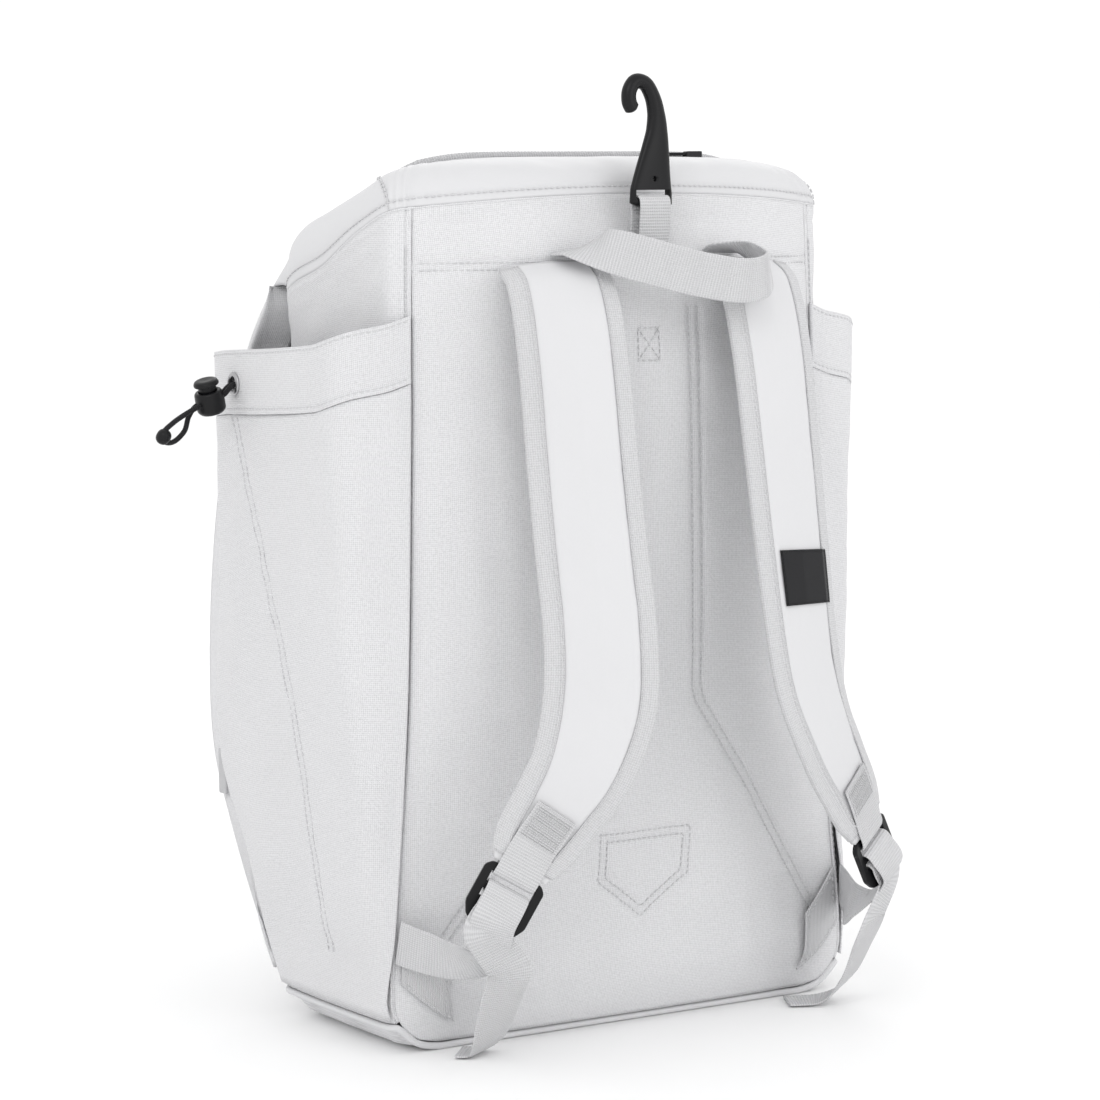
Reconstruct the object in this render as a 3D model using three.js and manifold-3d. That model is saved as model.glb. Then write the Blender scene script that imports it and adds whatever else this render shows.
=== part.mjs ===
// A baseball bat backpack: padded back with shoulder straps, a smooth yoke round the top, a front
// compartment, and a flared bat pocket with a cord lock on each side. Millimetres, Z up, the wearer's
// side faces -Y. Paired pieces are shaped on the +X side and mirrored.
import * as THREE from 'three';
import { mergeVertices } from 'three/addons/utils/BufferGeometryUtils.js';
import Module from 'manifold-3d';

const wasm = await Module();
wasm.setup();

// Body
const BODY_HEIGHT = 468; // floor to the top seam at the back corners
const BACK_HALF = 151; // half width of the back panel at its base
const BODY_DEPTH = 233; // back seams to the front rim
const BACK_BULGE = 37; // how far the stuffed back panel stands out from its seams
const BULGE_POWER = 3.2; // how square that bulge is across the panel
const TOP_ARCH = 6; // rise of the top seam at its middle
const CORNER_RADIUS = 26; // lower corners of the back panel
const PIPING_RADIUS = 2;
const CLOTH = 1.6; // wall of a body panel
const PANEL_PAD = 6; // the padded back panel, away from its seams
const SEAM_GAP = 0.35;
const GROOVE_DEPTH = 18; // groove between the main and the front compartment
const FRONT_CROWN = 12; // how far the front and the lid belly out
const BASE_CLOTH = 2;

// Lid closure
const ZIP_WIDTH = 5;
const ZIP_THICK = 1.5;
const RIM_RADIUS = 3; // ribbed binding round the lid and the front
const LID_CORNER = { out: 74, deep: 66 }; // centre of the lid's rear corner
const SLIDER = { long: 11, wide: 7, high: 4, at: 80 };
const PULL = { long: 27, wide: 4, thick: 1.6 };

// Front pocket
const FRONT_POCKET = { half: 0.74, top: 1.5, bottom: 2.62, puff: 13 };

// Bat pockets
const POCKET_CLOTH = 1.4;
const HEM_HEIGHT = 37;
const RIM_BACK = 409; // height of a bat pocket's rim at the back seam
const RIM_FRONT = 384; // and at its front
const RIM_CURVE = 1.6;
const POCKET_FOOT = 20; // height of its lower edge
const POCKET_FLARE_END = 72; // below this height the pocket draws in to the side
const FRONT_TAB = { deep: 9, high: 27, up: 120, thick: 3 };

// Cord lock
const GROMMET = { deep: 122, drop: 14.4, bore: 4.2, flange: 6.8, thick: 1.3 }; // drop is below the rim's front
const CORD_RADIUS = 1.5;
const CORD_CLEAR = 0.4;
const CORD_STEPS = 20;
const LOCK = { radius: 8.6, height: 15, bore: 5.6, wall: 2.4, lift: 1.6 };
const BUTTON = { travel: 3, clear: 0.3, cap: 7.4, capHeight: 3.4 };
const BEAD_RADIUS = 4.4;

// Harness
const STRAP_THICK = 11;
const STRAP_EDGE = 3;
const WEBBING = 25;
const WEBBING_THICK = 1.4;
const HANDLE_THICK = 1.8;
const LOCK_BARS = { half: 17.5, start: 2, top: 3.5, slot: 7.5, mid: 3, slot2: 5.5, plate: 14, thick: 3.2, reach: 14 };
const ANCHOR = { top: 74, bottom: 40, drop: 24, reach: 27 };
const LABEL = { wide: 43, high: 28, thick: 0.8, down: 0.508, shift: 4 };
const HOOK = { base: BODY_HEIGHT - 2, deep: -42, out: -3, thick: 6.5, slotWide: 22, slotHigh: 5.5, bar: 4 };
const HOOK_WEBBING = 20;
const HOOK_SEAT = BODY_HEIGHT - 32; // height of the seam that holds the hook's webbing

// The body by height. up is a share of BODY_HEIGHT. seam and wall are the half widths at the back seam and
// at the side wall, shares of BACK_HALF. bulge is a share of BACK_BULGE. main is the depth of the main
// compartment, a share of BODY_DEPTH, and fold is how far its front edge turns in, a share of GROOVE_DEPTH.
const BODY_ROWS = [
  { up: 0.0, seam: 1.0, wall: 1.013, bulge: 0.0, main: 0.5, fold: 0.0 },
  { up: 0.06, seam: 1.004, wall: 1.023, bulge: 0.38, main: 0.575, fold: 0.0 },
  { up: 0.13, seam: 0.995, wall: 1.016, bulge: 0.55, main: 0.68, fold: 0.0 },
  { up: 0.2, seam: 0.976, wall: 1.003, bulge: 0.68, main: 0.72, fold: 0.0 },
  { up: 0.3, seam: 0.948, wall: 0.987, bulge: 0.82, main: 0.725, fold: 0.0 },
  { up: 0.42, seam: 0.921, wall: 0.974, bulge: 0.93, main: 0.725, fold: 0.0 },
  { up: 0.54, seam: 0.905, wall: 0.967, bulge: 0.99, main: 0.725, fold: 0.0 },
  { up: 0.66, seam: 0.894, wall: 0.967, bulge: 1.0, main: 0.725, fold: 0.0 },
  { up: 0.72, seam: 0.888, wall: 0.967, bulge: 1.0, main: 0.72, fold: 0.05 },
  { up: 0.77, seam: 0.884, wall: 0.967, bulge: 1.0, main: 0.645, fold: 0.6 },
  { up: 0.815, seam: 0.882, wall: 0.967, bulge: 0.99, main: 0.567, fold: 1.0 },
  { up: 0.875, seam: 0.879, wall: 0.967, bulge: 0.96, main: 0.562, fold: 1.0 },
  { up: 0.935, seam: 0.874, wall: 0.965, bulge: 0.88, main: 0.562, fold: 1.0 },
  { up: 1.0, seam: 0.868, wall: 0.96, bulge: 0.64, main: 0.562, fold: 1.0 },
];

// The yoke's lower seam falls towards the front: deep is a share of BODY_DEPTH, up of BODY_HEIGHT.
const YOKE_SEAM = [
  { deep: 0.0, up: 1.0 },
  { deep: 0.045, up: 0.992 },
  { deep: 0.095, up: 0.983 },
  { deep: 0.19, up: 0.964 },
  { deep: 0.325, up: 0.932 },
  { deep: 0.46, up: 0.912 },
  { deep: 0.56, up: 0.891 },
];

// The edge that the lid and the front panel are set into, from the middle of the back (along 0) over the
// rear corner to the yoke's front end (1) and down to the foot (3). Shares as above, out of BACK_HALF.
const RIM_ROWS = [
  { along: 0.0, out: 0.0, deep: 0.12, up: 1.058 },
  { along: 0.27, out: 0.477, deep: 0.12, up: 1.057 },
  { along: 0.467, out: 0.702, deep: 0.142, up: 1.05 },
  { along: 0.6, out: 0.762, deep: 0.197, up: 1.042 },
  { along: 0.667, out: 0.781, deep: 0.258, up: 1.032 },
  { along: 0.8, out: 0.801, deep: 0.395, up: 1.004 },
  { along: 0.933, out: 0.861, deep: 0.549, up: 0.967 },
  { along: 1.0, out: 0.92, deep: 0.652, up: 0.906 },
  { along: 1.1, out: 0.955, deep: 0.708, up: 0.859 },
  { along: 1.2, out: 0.962, deep: 0.764, up: 0.818 },
  { along: 1.45, out: 0.962, deep: 0.88, up: 0.726 },
  { along: 1.8, out: 0.962, deep: 0.97, up: 0.577 },
  { along: 2.15, out: 0.97, deep: 1.0, up: 0.427 },
  { along: 2.45, out: 0.982, deep: 0.97, up: 0.31 },
  { along: 2.7, out: 1.0, deep: 0.85, up: 0.214 },
  { along: 2.9, out: 1.014, deep: 0.687, up: 0.107 },
  { along: 3.0, out: 1.006, deep: 0.575, up: 0.04 },
];

// The front compartment's side wall starts at this depth, by height.
const GUSSET_ROWS = [
  { up: 0.0, deep: 0.505 },
  { up: 0.06, deep: 0.58 },
  { up: 0.13, deep: 0.685 },
  { up: 0.2, deep: 0.73 },
  { up: 0.72, deep: 0.73 },
  { up: 0.77, deep: 0.728 },
  { up: 0.82, deep: 0.708 },
  { up: 0.852, deep: 0.661 },
  { up: 0.88, deep: 0.627 },
];

// A bat pocket by height: half is how far out it stands, a share of BACK_HALF, and front is the depth of
// its front seam, a share of BODY_DEPTH.
const POCKET_ROWS = [
  { up: 0.04, half: 1.053, front: 0.532 },
  { up: 0.13, half: 1.079, front: 0.65 },
  { up: 0.215, half: 1.096, front: 0.735 },
  { up: 0.28, half: 1.106, front: 0.825 },
  { up: 0.335, half: 1.113, front: 0.855 },
  { up: 0.483, half: 1.149, front: 0.805 },
  { up: 0.641, half: 1.169, front: 0.762 },
  { up: 0.77, half: 1.189, front: 0.742 },
  { up: 0.88, half: 1.195, front: 0.734 },
];

// A shoulder strap's middle line: up of BODY_HEIGHT, out of BACK_HALF, off is its distance from the back
// panel's face as a share of STRAP_REACH, wide a share of STRAP_WIDTH, and tilt in degrees.
const STRAP_REACH = 62;
const STRAP_WIDTH = 61;
const STRAP_ROWS = [
  { down: 0.0, up: 0.929, out: 0.424, off: 0.048, wide: 0.98, tilt: 10 },
  { down: 0.04, up: 0.905, out: 0.43, off: 0.26, wide: 0.99, tilt: 11 },
  { down: 0.14, up: 0.833, out: 0.434, off: 0.415, wide: 1.0, tilt: 12 },
  { down: 0.3, up: 0.716, out: 0.437, off: 0.55, wide: 1.0, tilt: 14 },
  { down: 0.45, up: 0.598, out: 0.437, off: 0.69, wide: 1.0, tilt: 16 },
  { down: 0.57, up: 0.502, out: 0.437, off: 0.825, wide: 1.0, tilt: 18 },
  { down: 0.67, up: 0.427, out: 0.46, off: 0.92, wide: 1.0, tilt: 20 },
  { down: 0.77, up: 0.36, out: 0.532, off: 0.985, wide: 0.91, tilt: 22 },
  { down: 0.86, up: 0.308, out: 0.63, off: 0.995, wide: 0.81, tilt: 22 },
  { down: 0.94, up: 0.268, out: 0.713, off: 1.0, wide: 0.72, tilt: 22 },
  { down: 1.0, up: 0.238, out: 0.766, off: 1.01, wide: 0.52, tilt: 22 },
];

// Routes of the free webbing, chosen by hand. It starts in the side seam: out and deep in mm, up a share of
// BODY_HEIGHT. The tails run from the ladder lock's foot: out and deep in mm from there, up a share of its
// height over the floor, and turn is the heading of the webbing's width, in degrees from the X axis.
const LOWER_START = [
  { out: 150.3, deep: -4.4, up: 0.1368 },
  { out: 144, deep: -19, up: 0.1303 },
  { out: 134, deep: -38, up: 0.1239 },
  { out: 128, deep: -56, up: 0.1325 },
];
const TAIL_RIGHT = [
  { out: -9.56, deep: 2.04, up: 0.706, turn: 24 },
  { out: -7.56, deep: 16.04, up: 0.465, turn: 28 },
  { out: -7.56, deep: 30.04, up: 0.211, turn: 34 },
  { out: -11.56, deep: 41.04, up: 0.058, turn: 44 },
  { out: -17.56, deep: 47.04, up: 0.010, turn: 56 },
  { out: -25.56, deep: 52.04, up: 0.000, turn: 62 },
  { out: -33.56, deep: 56.04, up: 0.000, turn: 62 },
];
const TAIL_LEFT = [
  { out: -16.56, deep: 5.04, up: 0.694, turn: 16 },
  { out: -19.56, deep: 18.04, up: 0.465, turn: 6 },
  { out: -22.56, deep: 32.04, up: 0.236, turn: -6 },
  { out: -24.06, deep: 42.04, up: 0.084, turn: -20 },
  { out: -22.56, deep: 48.04, up: 0.015, turn: -34 },
  { out: -18.56, deep: 53.04, up: 0.000, turn: -44 },
  { out: -14.06, deep: 57.04, up: 0.000, turn: -46 },
];

// The grab handle's ends lie flat in the top seam, and its middle stands on edge. up is in mm from the
// seat. twist turns it from upright about its run, and lean tips it out, both in degrees.
const HANDLE_SEAT = { out: 50, up: BODY_HEIGHT - 27 };
const HANDLE_ROUTE = [
  { out: -50, deep: -41, up: 2.5, twist: 76, lean: 0 },
  { out: -44, deep: -56, up: 2.5, twist: 44, lean: 4 },
  { out: -24, deep: -70, up: -4, twist: 12, lean: 10 },
  { out: 4, deep: -80, up: -12, twist: 0, lean: 13 },
  { out: 33, deep: -84, up: -16, twist: 0, lean: 12 },
  { out: 54, deep: -74, up: -12, twist: -10, lean: 8 },
  { out: 58, deep: -57, up: -3, twist: -44, lean: 4 },
  { out: 50.5, deep: -40, up: 1.5, twist: -78, lean: 0 },
];

// The draw cord's route on the right side, chosen by hand, from the middle of the grommet: out, deep and
// up in mm. It leaves the grommet, runs through the lock to the bead, and comes back the same way.
const CORD_ROUTE = [
  [-6.45, -1.8, 0.6],
  [2.05, -1.7, -0.7],
  [7.55, -2, -5.6],
  [15.55, -2, -8.8],
  [23.55, -2, -12],
  [32.05, -2.4, -15.8],
  [40.55, -3, -20.6],
  [46.55, -3.2, -25.8],
  [45.05, -1, -30.8],
  [38.55, 1.2, -31.4],
  [31.05, 2, -25.6],
  [28.05, 2.2, -17.6],
  [23.55, 2.2, -12],
  [15.55, 2.2, -8.8],
  [7.55, 2.2, -5.6],
  [2.05, 1.7, -0.9],
  [-6.45, 1.6, -0.3],
];
const LOCK_AT = { out: 15.55, deep: 0.1, up: -8.8 }; // from the grommet
const LOCK_LEAN = { out: 0.3, deep: -0.16 }; // the barrel's axis leans out and back
const BEAD_AT = { out: 46.15, deep: -2.4, up: -28 }; // from the grommet
const BEAD_STEPS = [8, 11]; // the cord's steps inside the bead

const clamp = THREE.MathUtils.clamp;
const mix = THREE.MathUtils.lerp;
const radians = THREE.MathUtils.degToRad;
const vec = (x, y, z) => new THREE.Vector3(x, y, z);
const ease = (from, to, at) => THREE.MathUtils.smoothstep(at, from, to);
const steps = (count, from = 0, to = 1) =>
  Array.from({ length: count + 1 }, (_, i) => mix(from, to, i / count));

// A smooth value of one column of a table, at a place between its rows.
function read(rows, key, at, column) {
  let i = 0;
  while (i < rows.length - 2 && at > rows[i + 1][key]) i++;
  const span = rows[i + 1][key] - rows[i][key];
  const t = clamp((at - rows[i][key]) / span, 0, 1);
  const slope = (j) => {
    const before = rows[Math.max(j - 1, 0)];
    const after = rows[Math.min(j + 1, rows.length - 1)];
    return (span * (after[column] - before[column])) / (after[key] - before[key]);
  };
  const a = rows[i][column];
  const b = rows[i + 1][column];
  const rise = t * t * (3 - 2 * t);
  return a + (b - a) * rise + slope(i) * t * (1 - t) * (1 - t) - slope(i + 1) * t * t * (1 - t);
}

const body = (z, column) => read(BODY_ROWS, 'up', z / BODY_HEIGHT, column);

// A closed surface from loops of points: each loop joins the next, and the ends are closed or joined.
function loft(loops, ring = false) {
  const across = loops[0].length;
  const points = loops.flat();
  const faces = [];
  const last = ring ? loops.length : loops.length - 1;
  for (let i = 0; i < last; i++) {
    const here = i * across;
    const next = ((i + 1) % loops.length) * across;
    for (let j = 0; j < across; j++) {
      const k = (j + 1) % across;
      faces.push([here + j, next + j, next + k], [here + j, next + k, here + k]);
    }
  }
  if (!ring) {
    const end = (loops.length - 1) * across;
    for (let j = 1; j < across - 1; j++) {
      faces.push([0, j, j + 1], [end, end + j + 1, end + j]);
    }
  }
  return solid(points, faces);
}

// Points and faces as a geometry whose faces point out.
function solid(points, faces) {
  let volume = 0;
  for (const [a, b, c] of faces) {
    volume += points[a].dot(points[b].clone().cross(points[c]));
  }
  const order = volume < 0 ? faces.map(([a, b, c]) => [a, c, b]) : faces;
  const geometry = new THREE.BufferGeometry().setFromPoints(points);
  return geometry.setIndex(order.flat());
}

// A cloth wall: a grid of points on its outer face, with its thickness laid towards the bag's middle.
function shell(grid, thick, middle = vec(0, 110, 230)) {
  const rows = grid.length;
  const cols = grid[0].length;
  const facing = (i, j) => {
    const du = grid[Math.min(i + 1, rows - 1)][j].clone().sub(grid[Math.max(i - 1, 0)][j]);
    const dv = grid[i][Math.min(j + 1, cols - 1)].clone().sub(grid[i][Math.max(j - 1, 0)]);
    return du.cross(dv).normalize();
  };
  const ci = Math.floor(rows / 2);
  const cj = Math.floor(cols / 2);
  const sign = facing(ci, cj).dot(grid[ci][cj].clone().sub(middle)) > 0 ? -1 : 1;
  const inner = grid.map((row, i) =>
    row.map((p, j) => p.clone().addScaledVector(facing(i, j), sign * thick(i, j))));
  const points = [...grid.flat(), ...inner.flat()];
  const outer = (i, j) => i * cols + j;
  const inside = (i, j) => rows * cols + i * cols + j;
  const faces = [];
  const quad = (a, b, c, d) => faces.push([a, b, c], [a, c, d]);
  for (let i = 0; i < rows - 1; i++) {
    for (let j = 0; j < cols - 1; j++) {
      quad(outer(i, j), outer(i + 1, j), outer(i + 1, j + 1), outer(i, j + 1));
      quad(inside(i, j), inside(i, j + 1), inside(i + 1, j + 1), inside(i + 1, j));
    }
  }
  for (let i = 0; i < rows - 1; i++) {
    quad(outer(i, 0), inside(i, 0), inside(i + 1, 0), outer(i + 1, 0));
    quad(outer(i, cols - 1), outer(i + 1, cols - 1), inside(i + 1, cols - 1), inside(i, cols - 1));
  }
  for (let j = 0; j < cols - 1; j++) {
    quad(outer(0, j), outer(0, j + 1), inside(0, j + 1), inside(0, j));
    quad(outer(rows - 1, j), inside(rows - 1, j), inside(rows - 1, j + 1), outer(rows - 1, j + 1));
  }
  return solid(points, faces);
}

// A flat band along points, each with the direction of its width.
function ribbon(points, across, width, thick) {
  const loops = points.map((p, i) => {
    const ahead = points[Math.min(i + 1, points.length - 1)];
    const along = ahead.clone().sub(points[Math.max(i - 1, 0)]).normalize();
    const side = across[i].clone().addScaledVector(along, -across[i].dot(along)).normalize();
    const face = along.clone().cross(side);
    return [[-1, -1], [1, -1], [1, 1], [-1, 1]].map(([s, f]) =>
      p.clone().addScaledVector(side, (s * width) / 2).addScaledVector(face, (f * thick) / 2));
  });
  return loft(loops);
}

// A smooth line through chosen points, with a width direction blended along it.
function route(points, across, spans) {
  const line = new THREE.CatmullRomCurve3(points, false, 'centripetal');
  const total = points.length - 1;
  const at = steps(total * spans);
  return {
    points: at.map((t) => line.getPoint(t)),
    across: at.map((t) => {
      const i = Math.min(Math.floor(t * total), total - 1);
      return across[i].clone().lerp(across[i + 1], t * total - i);
    }),
  };
}

// A round piping along a closed or open line.
function piping(points, radius, sides, ring) {
  const count = points.length;
  const loops = points.map((p, i) => {
    const after = ring ? points[(i + 1) % count] : points[Math.min(i + 1, count - 1)];
    const before = ring ? points[(i + count - 1) % count] : points[Math.max(i - 1, 0)];
    const along = after.clone().sub(before).normalize();
    const out = vec(p.x, p.y - BODY_DEPTH / 2, 0).normalize();
    const side = out.addScaledVector(along, -out.dot(along)).normalize();
    const up = along.clone().cross(side);
    return ringAt(p, side, up, radius, sides);
  });
  return loft(loops, ring);
}

function mirrored(geometry) {
  const copy = geometry.clone().applyMatrix4(new THREE.Matrix4().makeScale(-1, 1, 1));
  const index = Array.from(copy.index.array);
  for (let i = 0; i < index.length; i += 3) {
    [index[i + 1], index[i + 2]] = [index[i + 2], index[i + 1]];
  }
  return copy.setIndex(index);
}

// Joins and cuts
function toManifold(geometry) {
  const bare = new THREE.BufferGeometry().setAttribute('position', geometry.getAttribute('position'));
  if (geometry.index) bare.setIndex(geometry.index);
  const merged = mergeVertices(bare, 1e-4);
  const vertProperties = new Float32Array(merged.attributes.position.array);
  const triVerts = new Uint32Array(merged.index.array);
  return new wasm.Manifold(new wasm.Mesh({ numProp: 3, vertProperties, triVerts }));
}

function fromManifold(shape) {
  const mesh = shape.getMesh();
  const places = new Float32Array(mesh.numVert * 3);
  for (let i = 0; i < mesh.numVert; i++) {
    for (let k = 0; k < 3; k++) places[3 * i + k] = mesh.vertProperties[mesh.numProp * i + k];
  }
  return new THREE.BufferGeometry().setAttribute('position', new THREE.BufferAttribute(places, 3))
    .setIndex(Array.from(mesh.triVerts));
}

const cut = (geometry, ...tools) =>
  fromManifold(tools.reduce((shape, tool) => shape.subtract(toManifold(tool)), toManifold(geometry)));

// Back panel
const EDGE_UP = 2 * PIPING_RADIUS + 0.6; // the back panel ends over its piping
const SIDE_FOOT = EDGE_UP + CORNER_RADIUS * (1 - Math.cos(radians(60)));
const seamHalf = (z) => {
  const full = body(z, 'seam') * BACK_HALF;
  const below = Math.max(EDGE_UP + CORNER_RADIUS - z, 0);
  return full - CORNER_RADIUS + Math.sqrt(CORNER_RADIUS ** 2 - Math.min(below, CORNER_RADIUS) ** 2);
};
const topSeam = (x) => BODY_HEIGHT + TOP_ARCH * (1 - (x / seamHalf(BODY_HEIGHT)) ** 2);
const backFace = (x, z) => {
  const share = Math.min(Math.abs(x) / seamHalf(z), 1);
  return -body(z, 'bulge') * BACK_BULGE * (1 - share ** BULGE_POWER);
};
const BACK_STATIONS = steps(7);
const RISE = [0, 0.06, 0.13, 0.24, 0.38, 0.53, 0.68, 0.8, 0.91, 1]; // heights of rows over the corners

function backPanel() {
  const shares = [...BACK_STATIONS.slice(1).map((t) => -t).reverse(), ...BACK_STATIONS];
  const corner = [0, 30, 60, 90].map((turn) => EDGE_UP + CORNER_RADIUS * (1 - Math.cos(radians(turn))));
  const grid = shares.map((share) => {
    const top = topSeam(share * seamHalf(BODY_HEIGHT)) - 2 * SEAM_GAP;
    const heights = [...corner.slice(0, 3), ...RISE.map((t) => mix(corner[3], top, t))];
    return heights.map((z) => {
      const x = share * (seamHalf(Math.min(z, BODY_HEIGHT)) - SEAM_GAP);
      return vec(x, backFace(x, Math.min(z, BODY_HEIGHT)), z);
    });
  });
  const last = grid[0].length - 1;
  return shell(grid, (i, j) => {
    const sideways = 1 - Math.abs(shares[i]) ** 8;
    const upwards = 1 - Math.abs((2 * j) / last - 1) ** 8;
    return CLOTH + PANEL_PAD * sideways * upwards;
  });
}

// Low down the side wall leaves its seam squarely, so it starts a little further out.
const seamTuck = (z) => 1.3 * (1 - ease(60, 130, z));

// The side wall's outline at one height, from the back seam round to the groove.
const SIDE_STATIONS = [0, 1, 2, 3, 3.5, 4, 4.5, 5, 6, 7].map((i) => i / 7);
function sideLine(z) {
  const seam = seamHalf(z);
  const wall = body(z, 'wall') * BACK_HALF;
  const deep = body(z, 'main') * BODY_DEPTH;
  const fold = body(z, 'fold') * GROOVE_DEPTH;
  const tuck = seamTuck(z);
  return new THREE.CatmullRomCurve3([
    vec(seam + SEAM_GAP + tuck, 0.2 + tuck / 3, z),
    vec(mix(seam, wall, 0.5), 2.2, z),
    vec(mix(seam, wall, 0.85), 7, z),
    vec(wall, 22, z),
    vec(wall + 1, (22 + deep) / 2, z),
    vec(wall, deep - 10, z),
    vec(wall - 1 - 0.35 * fold, deep - 1.5, z),
    vec(wall - 2 - fold, deep + 0.3 * fold, z),
  ], false, 'centripetal');
}
const yokeSeam = (deep) => BODY_HEIGHT * read(YOKE_SEAM, 'deep', deep / BODY_DEPTH, 'up');
const sideTop = (u) => yokeSeam(sideLine(0.93 * BODY_HEIGHT).getPoint(u).y);

function sidePanel() {
  const low = EDGE_UP + CORNER_RADIUS;
  return shell(SIDE_STATIONS.map((u) => {
    const top = sideTop(u) - 2.4 * SEAM_GAP;
    const heights = [SIDE_FOOT, ...RISE.map((t) => mix(low, top, t))];
    return heights.map((z) => sideLine(z).getPoint(u));
  }), () => CLOTH);
}

// The edge that the lid and the front panel are set into, as a point with its tangent frame.
function rim(along) {
  const place = (t) => vec(
    BACK_HALF * read(RIM_ROWS, 'along', t, 'out'),
    BODY_DEPTH * read(RIM_ROWS, 'along', t, 'deep'),
    BODY_HEIGHT * read(RIM_ROWS, 'along', t, 'up'),
  );
  const at = place(along);
  const run = place(Math.min(along + 0.02, 3)).sub(place(Math.max(along - 0.02, 0))).normalize();
  const centre = vec(Math.min(at.x, LID_CORNER.out), Math.max(at.y, LID_CORNER.deep), at.z);
  const inward = centre.sub(at);
  inward.addScaledVector(run, -inward.dot(run)).normalize();
  const face = run.clone().cross(inward);
  if (face.dot(vec(at.x, at.y - BODY_DEPTH / 2, at.z - BODY_HEIGHT / 2)) < 0) face.negate();
  return { at, inward, face };
}
const zipWidth = (along) => ZIP_WIDTH * (1 - ease(1.0, 1.15, along));
const fromRim = (along, inward, face = 0) => {
  const edge = rim(along);
  return edge.at.addScaledVector(edge.inward, inward).addScaledVector(edge.face, face);
};
const bindingMiddle = (along) => CLOTH + 2 * SEAM_GAP + zipWidth(along) + RIM_RADIUS;
const coverEdge = (along) => fromRim(along, bindingMiddle(along) + RIM_RADIUS + SEAM_GAP);

// Top yoke: from its seam up over the ridge to the lid's edge.
const YOKE_STATIONS = 15;
const BACK_COUNT = 7;
function yokeFoot(i) {
  if (i < BACK_COUNT) {
    const x = (i / BACK_COUNT) * seamHalf(BODY_HEIGHT);
    return vec(x, backFace(x, BODY_HEIGHT), topSeam(x));
  }
  const u = SIDE_STATIONS[i - BACK_COUNT];
  return sideLine(sideTop(u)).getPoint(u);
}

function yoke() {
  const half = steps(YOKE_STATIONS, 0, YOKE_STATIONS).map((i) => {
    const foot = yokeFoot(i);
    const { at } = rim(i / YOKE_STATIONS);
    const swell = vec(foot.x * 1.012, foot.y - 1.5 * (1 - ease(0, BACK_COUNT, i)), at.z + 3);
    return steps(3).map((t) => new THREE.QuadraticBezierCurve3(foot, swell, at).getPoint(t));
  });
  const left = half.slice(1).reverse().map((row) => row.map((p) => vec(-p.x, p.y, p.z)));
  return shell([...left, ...half], () => CLOTH);
}

const bothSides = (line) => [...line.slice(1).reverse().map((p) => vec(-p.x, p.y, p.z)), ...line];

function lidZipper() {
  const at = steps(15, 0, 1);
  const inward = bothSides(at.map((t) => rim(t).inward));
  const points = bothSides(at.map((t) => fromRim(t, CLOTH + SEAM_GAP + zipWidth(t) / 2, -0.4 - ZIP_THICK / 2)));
  const loops = points.map((p, i) => {
    const along = points[Math.min(i + 1, points.length - 1)].clone().sub(points[Math.max(i - 1, 0)]);
    const face = along.normalize().cross(inward[i]).normalize();
    const wide = Math.max(zipWidth(at[Math.abs(i - at.length + 1)]), 1) / 2;
    return [[-1, -1], [1, -1], [1, 1], [-1, 1]].map(([s, f]) =>
      p.clone().addScaledVector(inward[i], s * wide).addScaledVector(face, (f * ZIP_THICK) / 2));
  });
  return loft(loops);
}

function lidPiping() {
  const at = [...steps(13, 0, 1), ...steps(11, 1.12, 2.97)];
  return piping(bothSides(at.map((t) => fromRim(t, bindingMiddle(t), 0.6))), RIM_RADIUS, 6, false);
}

// Lid and front are one curved sheet inside the rim, parted at LID_END.
const LID_END = 1.2;
const lidColumns = [0, 0.15, 0.3, 0.42, 0.5, 0.6];
const columnShares = () => {
  const corner = coverEdge(0.6);
  const right = lidColumns.map((t) => coverEdge(t).x / corner.x);
  return [...right.slice(1).reverse().map((t) => -t), ...right];
};
function coverPoint(share, along, lift = 0) {
  const edge = coverEdge(along);
  const ahead = coverEdge(Math.min(along + 0.03, 3));
  const behind = coverEdge(Math.max(along - 0.03, 0.6));
  const run = ahead.sub(behind).setX(0).normalize();
  const face = vec(0, -run.z, run.y);
  const swell = FRONT_CROWN * ease(0.6, 1.2, along) * (1 - 0.8 * ease(2.6, 3, along));
  const crown = swell * (1 - Math.abs(share) ** 2.4) + lift;
  return vec(share * edge.x, edge.y, edge.z).addScaledVector(face, crown);
}

function lidPanel() {
  const rows = [9 / 15, 10 / 15, 11 / 15, 12 / 15, 13 / 15, 14 / 15, 1, 1.1, LID_END];
  const shares = columnShares();
  const corner = coverEdge(rows[0]);
  const back = bothSides(lidColumns.map((t) => coverEdge(t)));
  return shell(shares.map((share, i) => rows.map((along, j) => {
    const reach = (1 - j / (rows.length - 1)) ** 2;
    const straight = vec(share * corner.x, corner.y, corner.z);
    return coverPoint(share, along).addScaledVector(back[i].clone().sub(straight), reach);
  })), () => CLOTH);
}

function frontPanel() {
  const rows = steps(8, LID_END, 3);
  rows[0] += 0.003;
  const shares = columnShares();
  return shell(shares.map((share) => rows.map((along) => coverPoint(share, along))), () => CLOTH);
}

// Side wall of the front compartment
function gusset() {
  const rows = steps(10, 1.03, 2.93);
  return shell(rows.map((along) => {
    const edge = fromRim(along, 0, -0.2);
    const wall = Math.max(edge.x, body(edge.z, 'wall') * BACK_HALF);
    const fold = body(edge.z, 'fold') * GROOVE_DEPTH;
    const deep = BODY_DEPTH * read(GUSSET_ROWS, 'up', edge.z / BODY_HEIGHT, 'deep');
    const line = new THREE.CatmullRomCurve3([
      vec(wall - 2 - fold, deep - 0.3 * fold + 2.7, edge.z),
      vec(wall - 1 - 0.35 * fold, deep + 3.9, edge.z),
      vec(mix(wall, edge.x, 0.5), mix(deep, edge.y, 0.5), edge.z),
      edge,
    ], false, 'centripetal');
    return steps(4).map((t) => line.getPoint(t));
  }), () => CLOTH);
}

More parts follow.
